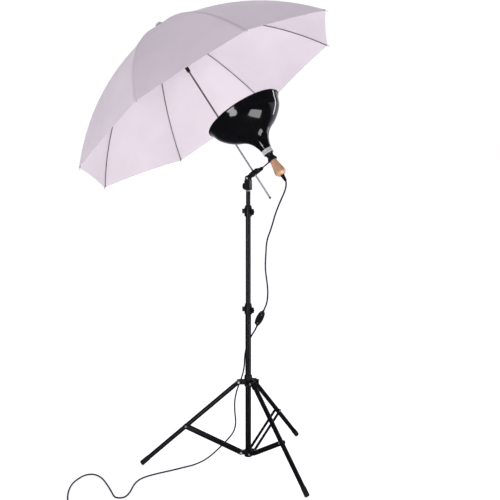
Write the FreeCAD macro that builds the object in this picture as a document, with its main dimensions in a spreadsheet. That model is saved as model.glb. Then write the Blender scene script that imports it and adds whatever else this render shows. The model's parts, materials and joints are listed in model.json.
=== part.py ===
# A studio umbrella lamp on a folding light stand, as a FreeCAD document in millimetres.
#
# The stand's column is the Z axis and the floor is Z = 0. The lamp, the umbrella and the bracket that
# holds both lean to one side of the column; the mains lead hangs from the lamp and runs out over the floor.
import FreeCAD
import Part
import Sketcher
import math
import os
import re

from FreeCAD import Placement, Rotation, Vector

X_AXIS = Vector(1, 0, 0)
Y_AXIS = Vector(0, 1, 0)
Z_AXIS = Vector(0, 0, 1)
ORIGIN = Vector(0, 0, 0)

# ---------------------------------------------------------------- driving dimensions

DIMENSIONS = {
    # clearances: a running fit on a pin, the gap between a sliding sleeve and its tube
    "pin_play": 0.05,
    "slide_play": 0.3,
    # three telescoping tubes
    "tube_wall": 1.2,
    "base_radius": 12.5,
    "base_bottom": 40,
    "base_top": 716,
    "middle_radius": 11,
    "middle_bottom": 470,
    "middle_top": 1140,
    "top_radius": 9.5,
    "top_bottom": 640,
    "top_end": 1211,
    # collar at the foot of the column, with three lugs for the braces
    "foot_collar_radius": 17,
    "foot_collar_bottom": 38,
    "foot_collar_top": 70,
    "lug_half_width": 11.3,
    "lug_round": 8,
    "brace_pivot_radius": 32,
    "brace_pivot_height": 57,
    # sliding collar that the legs hang from
    "spreader_radius": 17,
    "spreader_bottom": 356,
    "spreader_top": 406,
    "leg_pivot_radius": 42,
    "leg_pivot_height": 376,
    "ear_gap": 10.4,
    "ear_thick": 4.5,
    "ear_round": 9,
    # pivot pins and their heads
    "pin_radius": 3,
    "pin_head_radius": 5,
    "pin_head_thick": 2,
    # legs: tube, solid head and rubber foot; the angle is below the horizontal
    "first_leg_azimuth": 180.7,
    "leg_radius": 10,
    "leg_angle": 40.69,
    "leg_head_round": 8,
    "leg_head_end": 34,
    "leg_tube_start": 26,
    "leg_tube_end": 554,
    "foot_radius": 11.2,
    "foot_start": 524,
    "foot_end": 566,
    "foot_edge": 3,
    # braces: a pair of strips joined by a web; the angle is above the horizontal
    "brace_length": 269.9,
    "brace_angle": 26.28,
    "strip_inner": 11.6,
    "strip_thick": 2,
    "strip_half_depth": 9,
    "web_start": 28,
    "web_end": 150,
    # clamping collars of the column
    "lock_radius": 16.5,
    "lock_height": 45,
    "lower_lock_bottom": 677,
    "upper_lock_bottom": 1103,
    "lock_lip": 8,
    "lock_azimuth": -48,
    "lock_boss_radius": 6,
    "lock_boss_reach": 21,
    "lock_screw_height": 21,
    # hand screws
    "screw_radius": 2.5,
    "wing_span": 13,
    "wing_thick": 2.6,
    "wing_length": 13,
    "spreader_knob_radius": 10.5,
    "spreader_knob_length": 22,
    # stud on top of the column
    "stud_radius": 7.9,
    "stud_top": 1252,
    "stud_plug_radius": 8.25,
    "stud_plug_bottom": 1180,
    "stud_flange_radius": 9.5,
    "stud_flange_thick": 5,
    "stud_groove_radius": 6.6,
    "stud_groove_bottom": 1228,
    "stud_groove_top": 1238,
    # bracket base on the stud, turned about the column by bracket_yaw
    "bracket_yaw": -25.83,
    "block_half_width": 12.25,
    "block_half_depth": 13,
    "block_bottom": 1216.4,
    "block_top": 1258,
    "block_bore_radius": 8.1,
    "block_bore_depth": 40,
    "tilt_pivot_height": 1268.2,
    "yoke_half_gap": 5,
    "yoke_round": 10,
    "base_knob_height": 1232,
    # tilting bracket head; head_lift is its bar's angle above the horizontal
    "head_lift": 36.17,
    "tongue_half_width": 4.8,
    "tongue_round": 9.5,
    "head_start": 17,
    "head_end": 58,
    "head_half_width": 12,
    "head_half_height": 10.5,
    "shaft_offset": 35.1,
    "shaft_radius": 4,
    "shaft_hole_radius": 4.25,
    "nose_radius": 8,
    "nose_back": 12,
    "nose_front": 12,
    "umbrella_knob_radius": 9,
    "umbrella_knob_thick": 9,
    # lamp stem
    "stem_radius": 3,
    "stem_insert": 6,
    "band_radius": 20,
    "band_front": -229.5,
    "band_back": -238.5,
    # lamp, measured along its axis from the plane of the reflector's rim, forwards positive
    "bowl_wall": 1.2,
    "bead_radius": 2.2,
    "rim_radius": 163,
    "neck_radius": 22.5,
    "neck_front": -186,
    "neck_back": -206,
    "socket_radius": 17,
    "socket_taper": -226,
    "socket_back": -239.5,
    "socket_mouth": -172,
    "socket_mouth_radius": 16,
    "socket_cavity_radius": 13.7,
    "socket_floor": -200,
    "bulb_base_radius": 13.2,
    "bulb_radius": 37,
    "bulb_front": -30,
    "handle_top_radius": 15,
    "handle_radius": 24,
    "handle_wide": -296,
    "handle_back": -311.5,
    "handle_end_radius": 13,
    "relief_radius": 9,
    "relief_tip_radius": 5,
    "relief_back": -340,
    # umbrella, measured along its shaft from the middle of the bracket's hole
    "shaft_low": -128.5,
    "shaft_high": 774,
    "rib_count": 8,
    "rib_azimuth": 2.85,
    "rib_curve_radius": 1096,
    "rib_wire_radius": 1.75,
    "rib_start_slope": 12.78,
    "rib_turn": 40.72,
    "rib_pivot_radius": 9,
    "rib_pivot_height": 766.5,
    "rib_eye_radius": 2.4,
    "rib_eye_half_width": 1.3,
    "rib_tang_turn": 0.36,
    "rib_tang_length": 8,
    "rib_lug_turn": 11.03,
    "rib_lug_drop": 5,
    "rib_tip_radius": 2.6,
    "slot_half_width": 1.75,
    "crown_radius": 12,
    "crown_bottom": 757,
    "crown_slot_top": 770.5,
    "crown_top": 776,
    "ferrule_radius": 16,
    "ferrule_top": 788,
    "runner_pivot_radius": 13,
    "runner_pivot_height": 580.5,
    "runner_bottom": 526,
    "runner_barrel_radius": 7.5,
    "runner_disc_bottom": 572,
    "runner_disc_top": 584,
    "runner_disc_radius": 16,
    "stretcher_wire_radius": 1.4,
    "stretcher_length": 225.7,
    "stretcher_lift": 30.72,
    "fork_half_gap": 1.7,
    "fork_thick": 0.9,
    "fork_length": 12,
    # canopy: cloth just outside the ribs, from the crown to short of the rib tips
    "cloth_lift": 3.5,
    "cloth_thick": 1.5,
    "cloth_hole_radius": 13.5,
    "cloth_hem_gap": 10,
    # mains lead, its inline switch, coil and plug
    "cord_radius": 3.25,
    "switch_length": 58,
    "switch_width": 26,
    "switch_thick": 19,
    "switch_nose_radius": 6,
    "rocker_radius": 8,
    "rocker_half_width": 5,
    "coil_inner_radius": 26,
    "coil_outer_radius": 46,
    "coil_thick": 20,
    "plug_length": 34,
    "plug_width": 26,
    "plug_thick": 17,
    "blade_length": 17,
    "blade_width": 6.3,
    "blade_thick": 1.5,
    "blade_pitch": 12.7,
}

LEG_COUNT = 3

# Centre of the reflector's mouth and the way it faces.
LAMP_CENTRE = Vector(-20, -110, 1546)
LAMP_FACING = Vector(-0.5088, 0.3180, 0.8000).normalize()

# Where the lamp's stem enters the bracket head, in the head's own frame.
STEM_SOCKET = Vector(70, 0, -4)

# Points of the bowl's outer curve at which its inner wall is offset.
WALL_STEPS = 24

# Distance behind the reflector's rim against the bowl's outer radius.
BOWL_PROFILE = [(20, 157), (45, 146), (70, 125), (90, 101), (105, 75), (120, 55), (140, 39), (165, 28)]

# Ends of the inline switch, and the routes of the lead's two uncoiled stretches.
SWITCH_UPPER_END = Vector(66, -50, 703)
SWITCH_LOWER_END = Vector(38, -21, 630)
COIL_CENTRE = Vector(-706, -622, 0)
PLUG_ON_COIL = Vector(14, 22, 0)
COIL_ENTRY = Vector(-667, -600, 9.75)

LAMP_CORD_ROUTE = [
    (161.6, -223.5, 1260.6), (158, -227, 1234), (140, -208, 1195), (116, -185, 1140),
    (95, -160, 1069), (77, -145, 1020), (74, -130, 962), (71, -115, 895), (81, -100, 827),
    (84, -82, 776), (78, -63.4, 728.8),
]
MAINS_CORD_ROUTE = [
    (30, -12, 609), (18, 10, 586), (4, 23, 558), (-9, 25, 524), (-16, 23, 482), (-17, 25, 436),
    (-28, 28, 388), (-47, 32, 340), (-60, 33, 288), (-60, 32, 234), (-54, 31, 182), (-63, 31, 139),
    (-97, 28, 99), (-139, 14, 60), (-182, -1, 26), (-233, -11, 3.6), (-281, -46, 3.3),
    (-324, -80, 3.3), (-364, -107, 3.3), (-398, -131, 3.3), (-429, -157, 3.3), (-455, -187, 3.3),
    (-471, -226, 3.3), (-480, -277, 3.3), (-484, -336, 3.3), (-492, -384, 3.3), (-505, -413, 3.3),
    (-535, -415, 3.3), (-549, -388, 3.3), (-564, -338, 3.3), (-592, -256, 3.3), (-619, -188, 3.3),
    (-646, -147, 3.3),
    (-674, -131, 3.3), (-702, -147, 3.3), (-722, -188, 3.3), (-736, -237, 3.3), (-741, -290, 3.3),
    (-739, -359, 3.3), (-730, -427, 3.3), (-716, -489, 3.3), (-692, -536, 3.9), (-674, -568, 6.5),
]

doc = FreeCAD.newDocument("UmbrellaLamp")
sheet = doc.addObject("Spreadsheet::Sheet", "Dims")
for row, (alias, number) in enumerate(DIMENSIONS.items(), start=1):
    sheet.set(f"A{row}", alias)
    sheet.set(f"B{row}", str(number))
    sheet.setAlias(f"B{row}", alias)
doc.recompute()

subparts = {}


# ---------------------------------------------------------------- expressions and primitives

def bound(text):
    """The expression with every alias in it written as a property of the sheet."""
    return re.sub(r"[a-z_]+", lambda word: "Dims." + word.group() if word.group() in DIMENSIONS
                  else word.group(), str(text))


def value(text):
    """The number that an expression over the sheet's aliases gives."""
    return float(sheet.evalExpression(bound(text)))


def bind(thing, **expressions):
    """Bind properties of an object to expressions over the sheet."""
    for name, text in expressions.items():
        thing.setExpression(name, bound(text))
    return thing


def locate(thing, at, turn):
    """Turn an object, and bind its position to three expressions."""
    thing.Placement = Placement(ORIGIN, turn)
    for letter, text in zip("xyz", at):
        thing.setExpression("Placement.Base." + letter, bound(text))
    return thing


def towards(direction):
    """The rotation that takes the Z axis to a direction."""
    return Rotation(Z_AXIS, direction)


def rod(radius, length, at=(0, 0, 0), axis=Z_AXIS):
    """A cylinder from a point along an axis."""
    shape = doc.addObject("Part::Cylinder", "Rod")
    bind(shape, Radius=radius, Height=length)
    return locate(shape, at, towards(axis))


def block(size, at):
    """A box from its lowest corner."""
    shape = doc.addObject("Part::Box", "Block")
    bind(shape, Length=size[0], Width=size[1], Height=size[2])
    return locate(shape, at, Rotation())


def ball(radius, at):
    """A sphere about a point."""
    shape = doc.addObject("Part::Sphere", "Ball")
    bind(shape, Radius=radius)
    return locate(shape, at, Rotation())


def placed(thing, place):
    """Move an object as a whole; one whose own position is bound moves inside a compound."""
    if any("Placement" in path for path, _ in thing.ExpressionEngine):
        carrier = doc.addObject("Part::Compound", "Placed")
        carrier.Links = [thing]
        thing = carrier
    thing.Placement = place.multiply(thing.Placement)
    return thing


def fused(pieces, place=None):
    """The union of several objects; pieces that don't touch stay separate solids."""
    union = doc.addObject("Part::MultiFuse", "Union")
    union.Shapes = pieces
    return placed(union, place) if place else union


def less(base, tools, place=None):
    """An object with others cut out of it."""
    cut = doc.addObject("Part::Cut", "Cut")
    cut.Base = base
    cut.Tool = tools[0] if len(tools) == 1 else fused(tools)
    return placed(cut, place) if place else cut


def ringed(make, count, first=0.0):
    """The objects that make() gives, each turned to its own azimuth about the Z axis."""
    return [placed(make(), Placement(ORIGIN, Rotation(Z_AXIS, first + 360.0 * turn / count)))
            for turn in range(count)]


def turned(outline, place=None):
    """A body turned about its own Z axis from a sketched half section.

    Each corner is (radius, height), or (radius, height, curve) when the edge that leaves it is an arc
    of that radius. The outline runs anticlockwise, so a negative curve bulges outwards.
    """
    body = doc.addObject("PartDesign::Body", "Turned")
    plane = next(feature for feature in body.Origin.OriginFeatures if feature.Role == "XZ_Plane")
    sketch = body.newObject("Sketcher::SketchObject", "Section")
    sketch.AttachmentSupport = [(plane, "")]
    sketch.MapMode = "FlatFace"
    corners = [Vector(value(corner[0]), value(corner[1]), 0) for corner in outline]
    ends = []
    for index, corner in enumerate(outline):
        start = corners[index]
        finish = corners[(index + 1) % len(corners)]
        curve = value(corner[2]) if len(corner) == 3 else 0.0
        if curve:
            chord = finish - start
            rise = abs(curve) - math.sqrt(curve ** 2 - chord.Length ** 2 / 4)
            left = Vector(-chord.y, chord.x, 0).normalize()
            middle = (start + finish) / 2 + left * math.copysign(rise, curve)
            geometry = sketch.addGeometry(Part.Arc(start, middle, finish), False)
            ends.append((1, 2) if curve < 0 else (2, 1))
            radius = sketch.addConstraint(Sketcher.Constraint("Radius", geometry, abs(curve)))
            sketch.setExpression(f"Constraints[{radius}]", "abs(" + bound(corner[2]) + ")")
        else:
            sketch.addGeometry(Part.LineSegment(start, finish), False)
            ends.append((1, 2))
    for index, corner in enumerate(outline):
        before = (index - 1) % len(outline)
        sketch.addConstraint(Sketcher.Constraint("Coincident", before, ends[before][1],
                                                 index, ends[index][0]))
        for kind, text, place_value in (("DistanceX", corner[0], corners[index].x),
                                        ("DistanceY", corner[1], corners[index].y)):
            if abs(place_value) < 1e-9:
                line = -2 if kind == "DistanceX" else -1
                sketch.addConstraint(Sketcher.Constraint("PointOnObject", index, ends[index][0], line))
                continue
            number = sketch.addConstraint(Sketcher.Constraint(kind, -1, 1, index, ends[index][0],
                                                              place_value))
            sketch.setExpression(f"Constraints[{number}]", bound(text))
    revolution = body.newObject("PartDesign::Revolution", "Turn")
    revolution.Profile = sketch
    revolution.ReferenceAxis = (sketch, ["V_Axis"])
    revolution.Angle = 360
    body.Tip = revolution
    return placed(body, place) if place else body


def publish(thing, label):
    """Name an object as a sub-part, to be written to its own file."""
    thing.Label = label
    subparts[label] = thing
    return thing


# ---------------------------------------------------------------- frames

def leg_frame(number):
    """The frame of a leg: X outwards, Y the way round the column that its hinges point along."""
    azimuth = value("first_leg_azimuth") + 360.0 * number / LEG_COUNT
    return Placement(ORIGIN, Rotation(Z_AXIS, azimuth))


BRACKET = Placement(ORIGIN, Rotation(Z_AXIS, value("bracket_yaw")))
HEAD = Placement(Vector(0, 0, value("tilt_pivot_height")),
                 BRACKET.Rotation.multiply(Rotation(Y_AXIS, -value("head_lift"))))
UMBRELLA = HEAD.multiply(Placement(Vector(value("shaft_offset"), 0, 0), Rotation()))
LAMP = Placement(LAMP_CENTRE, towards(LAMP_FACING))
PLUG = Placement(COIL_CENTRE + PLUG_ON_COIL + Vector(0, 0, value("coil_thick")), Rotation())


# ---------------------------------------------------------------- hand screws

def wing_screw(reach, standoff):
    """A screw along +X with a two-winged head.

    The screw's tip is at X = reach, and its head starts at X = standoff.
    """
    shank = rod("screw_radius - pin_play", f"({standoff}) - ({reach}) + 2", (reach, 0, 0), X_AXIS)
    hub = rod("screw_radius + 2.6", "wing_length", (standoff, 0, 0), X_AXIS)
    lobes = []
    for side in (-1, 1):
        middle = f"{side} * (wing_span - 5.5)"
        lobes.append(rod(5.5, "2 * wing_thick", (f"{standoff} + wing_length - 5.5", "wing_thick", middle),
                         Vector(0, -1, 0)))
        lobes.append(block((7, "2 * wing_thick", "wing_span - 4"),
                           (f"{standoff} + wing_length - 10", "-wing_thick",
                            0 if side > 0 else "4 - wing_span")))
    return fused([shank, hub] + lobes)


def ribbed_knob(radius, length, start, flutes):
    """A round knob along +X from X = start, with flutes along its side."""
    round_body = turned([(0, start), (f"{radius} - 1", start), (radius, f"{start} + 1"),
                         (radius, f"{start} + {length} - 2", -2), (f"{radius} - 2", f"{start} + {length}"),
                         (0, f"{start} + {length}")], Placement(ORIGIN, towards(X_AXIS)))
    grooves = []
    for turn in range(flutes):
        angle = 2 * math.pi * turn / flutes
        reach = value(radius) + 0.6
        groove = rod(1.3, f"{length} + 4", (f"{start} - 2", reach * math.cos(angle), reach * math.sin(angle)),
                     X_AXIS)
        grooves.append(groove)
    return less(round_body, grooves)


# ---------------------------------------------------------------- column

def screw_hole(radius, reach, height, azimuth):
    """A radial hole through the column's wall."""
    hole = rod(radius, reach, (0, 0, height), X_AXIS)
    return placed(hole, Placement(ORIGIN, Rotation(Z_AXIS, value(azimuth))))


def column_tube(label, radius, bottom, top, hole_height=None):
    """One section of the column, with a hole near its top for the clamping screw."""
    tube = turned([(radius, bottom), (radius, f"{top} - 0.3"), (f"{radius} - 0.3", top),
                   (f"{radius} - tube_wall", top), (f"{radius} - tube_wall", bottom)])
    if hole_height:
        tube = less(tube, [screw_hole("screw_radius + 0.3", 40, hole_height, "lock_azimuth")])
    return publish(tube, label)


def lock_collar(label, bottom, outer_tube, inner_tube, tube_top):
    """A cast collar on a tube's mouth, with a boss for its screw and a lug on the far side."""
    top = f"{bottom} + lock_height"
    shell = turned([(outer_tube, bottom), ("lock_radius - 1.5", bottom), ("lock_radius", f"{bottom} + 1.5"),
                    ("lock_radius", f"{top} - lock_lip"), ("lock_radius - 1.8", f"{top} - lock_lip + 2"),
                    ("lock_radius - 1.8", f"{top} - 1.2"), ("lock_radius - 3", top),
                    (f"{inner_tube} + 0.15", top), (f"{inner_tube} + 0.15", tube_top),
                    (outer_tube, tube_top)])
    height = f"{bottom} + lock_screw_height"
    boss = placed(rod("lock_boss_radius", "lock_boss_reach - base_radius - 0.5",
                      ("base_radius + 0.5", 0, height), X_AXIS),
                  Placement(ORIGIN, Rotation(Z_AXIS, value("lock_azimuth"))))
    lug = block(("lock_radius - 4", 8, 20), ("-lock_radius - 9.5", -4, f"{height} - 8"))
    return publish(less(fused([shell, boss, lug]),
                        [screw_hole("screw_radius", 60, height, "lock_azimuth")]), label)


def lock_knob(label, bottom, inner_tube):
    """The winged screw of a clamping collar."""
    screw = wing_screw(f"{inner_tube} + slide_play", "lock_boss_reach + slide_play")
    place = Placement(Vector(0, 0, value(f"{bottom} + lock_screw_height")),
                      Rotation(Z_AXIS, value("lock_azimuth")))
    return publish(placed(screw, place), label)


def build_column():
    """The three tubes, their clamping collars and the stud on top."""
    column_tube("base_tube", "base_radius", "base_bottom", "base_top",
                "lower_lock_bottom + lock_screw_height")
    column_tube("middle_tube", "middle_radius", "middle_bottom", "middle_top",
                "upper_lock_bottom + lock_screw_height")
    column_tube("top_tube", "top_radius", "top_bottom", "top_end")
    lock_collar("lower_lock_collar", "lower_lock_bottom", "base_radius", "middle_radius", "base_top")
    lock_collar("upper_lock_collar", "upper_lock_bottom", "middle_radius", "top_radius", "middle_top")
    lock_knob("lower_lock_knob", "lower_lock_bottom", "middle_radius")
    lock_knob("upper_lock_knob", "upper_lock_bottom", "top_radius")
    flange_top = "top_end + stud_flange_thick"
    spigot = turned([(0, "stud_plug_bottom"), ("stud_plug_radius - 1", "stud_plug_bottom"),
                     ("stud_plug_radius", "stud_plug_bottom + 1"), ("stud_plug_radius", "top_end"),
                     ("stud_flange_radius", "top_end"), ("stud_flange_radius", flange_top + " - 0.6"),
                     ("stud_flange_radius - 0.6", flange_top), ("stud_radius", flange_top),
                     ("stud_radius", "stud_groove_bottom - 1.3"),
                     ("stud_groove_radius", "stud_groove_bottom"),
                     ("stud_groove_radius", "stud_groove_top"), ("stud_radius", "stud_groove_top + 1.3"),
                     ("stud_radius", "stud_top - 1"), ("stud_radius - 1", "stud_top"), (0, "stud_top")])
    publish(spigot, "spigot")


# ---------------------------------------------------------------- tripod

def pivot_pin(half_length):
    """A pin along Y about the origin, with a head at each end."""
    shank = rod("pin_radius", f"2 * ({half_length})", (0, f"-({half_length})", 0), Y_AXIS)
    heads = [rod("pin_head_radius", "pin_head_thick", (0, f"-({half_length}) - pin_head_thick", 0), Y_AXIS),
             rod("pin_head_radius", "pin_head_thick", (0, half_length, 0), Y_AXIS)]
    return fused([shank] + heads)


def build_foot_collar():
    """The closed collar under the column, its three lugs and the pins in them."""
    shell = turned([(0, "foot_collar_bottom"), ("foot_collar_radius - 2", "foot_collar_bottom"),
                    ("foot_collar_radius", "foot_collar_bottom + 2"),
                    ("foot_collar_radius", "foot_collar_top - 1.5"),
                    ("foot_collar_radius - 1.5", "foot_collar_top"), ("base_radius", "foot_collar_top"),
                    ("base_radius", "base_bottom"), (0, "base_bottom")])
    lugs = []
    holes = []
    pins = []
    for number in range(LEG_COUNT):
        frame = leg_frame(number)
        low = "brace_pivot_height - lug_round"
        arm = block(("brace_pivot_radius - base_radius - 1", "2 * lug_half_width", "2 * lug_round"),
                    ("base_radius + 1", "-lug_half_width", low))
        eye = rod("lug_round", "2 * lug_half_width",
                  ("brace_pivot_radius", "-lug_half_width", "brace_pivot_height"), Y_AXIS)
        hole = rod("pin_radius + 0.02", 60, ("brace_pivot_radius", -30, "brace_pivot_height"), Y_AXIS)
        lugs += [placed(arm, frame), placed(eye, frame)]
        holes.append(placed(hole, frame))
        pin = pivot_pin("strip_inner + strip_thick + slide_play")
        pivot = Vector(value("brace_pivot_radius"), 0, value("brace_pivot_height"))
        pins.append(placed(pin, frame.multiply(Placement(pivot, Rotation()))))
    publish(less(fused([shell] + lugs), holes), "brace_collar")
    publish(fused(pins), "brace_pins")


def build_spreader():
    """The sliding collar with a fork for each leg, its pins and its clamping knob."""
    shell = turned([("base_radius + slide_play", "spreader_bottom"),
                    ("spreader_radius - 1.5", "spreader_bottom"),
                    ("spreader_radius", "spreader_bottom + 1.5"), ("spreader_radius", "spreader_top - 1.5"),
                    ("spreader_radius - 1.5", "spreader_top"), ("base_radius + slide_play", "spreader_top")])
    boss = rod("lock_boss_radius", "24 - base_radius - 1", ("base_radius + 1", 0, "leg_pivot_height + 2"),
               X_AXIS)
    screw_way = rod("screw_radius", 60, (0, 0, "leg_pivot_height + 2"), X_AXIS)
    knob_azimuth = Placement(ORIGIN, Rotation(Z_AXIS, value("first_leg_azimuth") - 180))
    solids = [shell, placed(boss, knob_azimuth)]
    holes = [placed(screw_way, knob_azimuth)]
    pins = []
    for number in range(LEG_COUNT):
        frame = leg_frame(number)
        for side in ("ear_gap", "-ear_gap - ear_thick"):
            low = "leg_pivot_height - ear_round"
            plate = block(("leg_pivot_radius - 9", "ear_thick", "2 * ear_round"), (9, side, low))
            eye = rod("ear_round", "ear_thick", ("leg_pivot_radius", side, "leg_pivot_height"), Y_AXIS)
            solids += [placed(plate, frame), placed(eye, frame)]
        hole = rod("pin_radius + 0.02", 60, ("leg_pivot_radius", -30, "leg_pivot_height"), Y_AXIS)
        holes.append(placed(hole, frame))
        pin = pivot_pin("ear_gap + ear_thick + 0.1")
        pivot = Vector(value("leg_pivot_radius"), 0, value("leg_pivot_height"))
        pins.append(placed(pin, frame.multiply(Placement(pivot, Rotation()))))
    holes.append(rod("base_radius + slide_play", 200, (0, 0, "spreader_bottom - 50")))
    publish(less(fused(solids), holes), "spreader_collar")
    publish(fused(pins), "spreader_pins")
    tip = "base_radius + slide_play"
    shank = rod("screw_radius - pin_play", "14", (tip, 0, 0), X_AXIS)
    knob = ribbed_knob("spreader_knob_radius", "spreader_knob_length", "base_radius + 12", 8)
    lift = Placement(Vector(0, 0, value("leg_pivot_height + 2")), Rotation())
    publish(fused([shank, knob], knob_azimuth.multiply(lift)), "spreader_knob")


def build_leg(number):
    """A tubular leg, its rubber foot and the brace that holds it out."""
    frame = leg_frame(number)
    pivot = Vector(value("leg_pivot_radius"), 0, value("leg_pivot_height"))
    along_leg = frame.multiply(Placement(pivot, Rotation(Y_AXIS, value("leg_angle"))))
    spin = Placement(ORIGIN, Rotation(Y_AXIS, 90))
    tube = turned([("leg_radius", "leg_tube_start"), ("leg_radius", "leg_tube_end"),
                   ("leg_radius - tube_wall", "leg_tube_end"), ("leg_radius - tube_wall", "leg_tube_start")],
                  spin)
    eye = rod("leg_head_round", "2 * leg_radius", (0, "-leg_radius", 0), Y_AXIS)
    neck = block(("leg_tube_start", "2 * leg_radius", "2 * leg_head_round"),
                 (0, "-leg_radius", "-leg_head_round"))
    plug = turned([(0, "leg_tube_start - 4"), ("leg_radius - 1", "leg_tube_start - 4"),
                   ("leg_radius", "leg_tube_start - 3"), ("leg_radius", "leg_tube_start"),
                   ("leg_radius - tube_wall", "leg_tube_start"), ("leg_radius - tube_wall", "leg_head_end"),
                   (0, "leg_head_end")], spin)
    hole = rod("pin_radius + pin_play", 60, (0, -30, 0), Y_AXIS)
    publish(less(fused([tube, eye, neck, plug]), [hole], along_leg), f"leg_tube_{number + 1}")

    foot = turned([("leg_radius + 0.01", "foot_start"), ("foot_radius - 0.5", "foot_start"),
                   ("foot_radius", "foot_start + 0.5"), ("foot_radius", "foot_end - foot_edge", "-foot_edge"),
                   ("foot_radius - foot_edge", "foot_end"), (0, "foot_end"), (0, "leg_tube_end + 0.01"),
                   ("leg_radius + 0.01", "leg_tube_end + 0.01")], along_leg.multiply(spin))
    floor = placed(block((80, 80, 20), (440, -40, -20)), frame)
    publish(less(foot, [floor]), f"foot_{number + 1}")

    low = Vector(value("brace_pivot_radius"), 0, value("brace_pivot_height"))
    along_brace = frame.multiply(Placement(low, Rotation(Y_AXIS, -value("brace_angle"))))
    strips = []
    for inner, rivet in (("strip_inner", "strip_inner + strip_thick"),
                         ("-strip_inner - strip_thick", "-strip_inner - strip_thick - 2")):
        strips.append(block(("brace_length", "strip_thick", "2 * strip_half_depth"),
                            (0, inner, "-strip_half_depth")))
        for end in (0, "brace_length"):
            strips.append(rod("strip_half_depth", "strip_thick", (end, inner, 0), Y_AXIS))
        strips.append(rod("pin_head_radius", 2, ("brace_length", rivet, 0), Y_AXIS))
    web = block(("web_end - web_start", "2 * strip_inner", "strip_thick"),
                ("web_start", "-strip_inner", "strip_half_depth - strip_thick"))
    hole = rod("pin_radius + pin_play", 60, (0, -30, 0), Y_AXIS)
    publish(less(fused(strips + [web]), [hole], along_brace), f"brace_{number + 1}")


# ---------------------------------------------------------------- bracket

def build_bracket_base():
    """The block that sits on the stud, its yoke, and the two screws in it."""
    body = block(("2 * block_half_width", "2 * block_half_depth", "block_top - block_bottom"),
                 ("-block_half_width", "-block_half_depth", "block_bottom"))
    ears = [block(("2 * yoke_round", "2 * block_half_depth", "tilt_pivot_height - block_top"),
                  ("-yoke_round", "-block_half_depth", "block_top")),
            rod("yoke_round", "2 * block_half_depth", (0, "-block_half_depth", "tilt_pivot_height"), Y_AXIS)]
    slot = block((60, "2 * yoke_half_gap", 60), (-30, "-yoke_half_gap", "block_top"))
    bore = rod("block_bore_radius", "block_bore_depth", (0, 0, "block_bottom"))
    bolt_hole = rod("pin_radius + pin_play", 60, (0, -30, "tilt_pivot_height"), Y_AXIS)
    screw_way = rod("screw_radius", 40, (0, 0, "base_knob_height"), Vector(-1, 0, 0))
    publish(less(fused([body] + ears), [slot, bore, bolt_hole, screw_way], BRACKET), "bracket_base")

    knob = wing_screw("stud_radius + 0.5", "block_half_width + slide_play")
    facing = Placement(Vector(0, 0, value("base_knob_height")), Rotation(Z_AXIS, 180))
    publish(placed(knob, BRACKET.multiply(facing)), "bracket_base_knob")

    tilt = wing_screw("-block_half_depth - 0.5", "block_half_depth + slide_play")
    bolt = rod("pin_radius", "2 * block_half_depth + 4", ("-block_half_depth - 2", 0, 0), X_AXIS)
    nut = turned([(0, "-block_half_depth - 4.6"), ("pin_head_radius - 1.2", "-block_half_depth - 4.6"),
                  ("pin_head_radius", "-block_half_depth - 3.4"),
                  ("pin_head_radius", "-block_half_depth - slide_play"),
                  (0, "-block_half_depth - slide_play")], Placement(ORIGIN, towards(X_AXIS)))
    sideways = Placement(Vector(0, 0, value("tilt_pivot_height")), Rotation(Z_AXIS, 90))
    publish(fused([tilt, bolt, nut], BRACKET.multiply(sideways)), "tilt_knob")


def stem_frame():
    """The frame of the lamp's stem: Z runs from the bracket head to the lamp's axis."""
    inside = HEAD.multVec(STEM_SOCKET)
    clamp = LAMP.multVec(Vector(0, 0, value("(band_front + band_back) / 2")))
    return Placement(inside, towards(clamp - inside)), (clamp - inside).Length


def build_bracket_head():
    """The bar that tilts in the yoke, holds the umbrella's shaft and ends in the lamp's socket."""
    tongue = [rod("tongue_round", "2 * tongue_half_width", (0, "-tongue_half_width", 0), Y_AXIS),
              block(("head_start + 2", "2 * tongue_half_width", "2 * tongue_round"),
                    (0, "-tongue_half_width", "-tongue_round"))]
    bar = block(("head_end - head_start", "2 * head_half_width", "2 * head_half_height"),
                ("head_start", "-head_half_width", "-head_half_height"))
    edges = [(number, 2.0, 2.0) for number in range(1, 13)]
    rounded = doc.addObject("Part::Fillet", "RoundedBar")
    rounded.Base = bar
    rounded.Edges = edges
    stub = turned([(0, "head_end - 4"), ("head_half_height - 0.5", "head_end - 4"),
                   ("nose_radius", "head_end + 8"), (0, "head_end + 8")],
                  Placement(Vector(0, 0, -2), towards(X_AXIS)))
    frame, _ = stem_frame()
    to_head = HEAD.inverse().multiply(frame)
    nose = placed(rod("nose_radius", "nose_back + nose_front", (0, 0, "-nose_back")), to_head)
    socket = placed(rod("stem_radius + pin_play", 60, (0, 0, "-stem_insert - 1")), to_head)
    holes = [rod("pin_radius + pin_play", 60, (0, -30, 0), Y_AXIS),
             rod("shaft_hole_radius", 60, ("shaft_offset", 0, -30)),
             rod("screw_radius", 30, ("shaft_offset", 0, 0), Vector(0, -1, 0)), socket]
    publish(less(fused(tongue + [rounded, stub, nose]), holes, HEAD), "bracket_head")

    shank = rod("screw_radius - pin_play", "head_half_width - shaft_radius + 1",
                ("shaft_radius + 0.5", 0, 0), X_AXIS)
    knob = ribbed_knob("umbrella_knob_radius", "umbrella_knob_thick", "head_half_width + slide_play", 20)
    facing = Placement(Vector(value("shaft_offset"), 0, 0), Rotation(Z_AXIS, -90))
    publish(fused([shank, knob], HEAD.multiply(facing)), "umbrella_knob")


# ---------------------------------------------------------------- lamp

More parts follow.
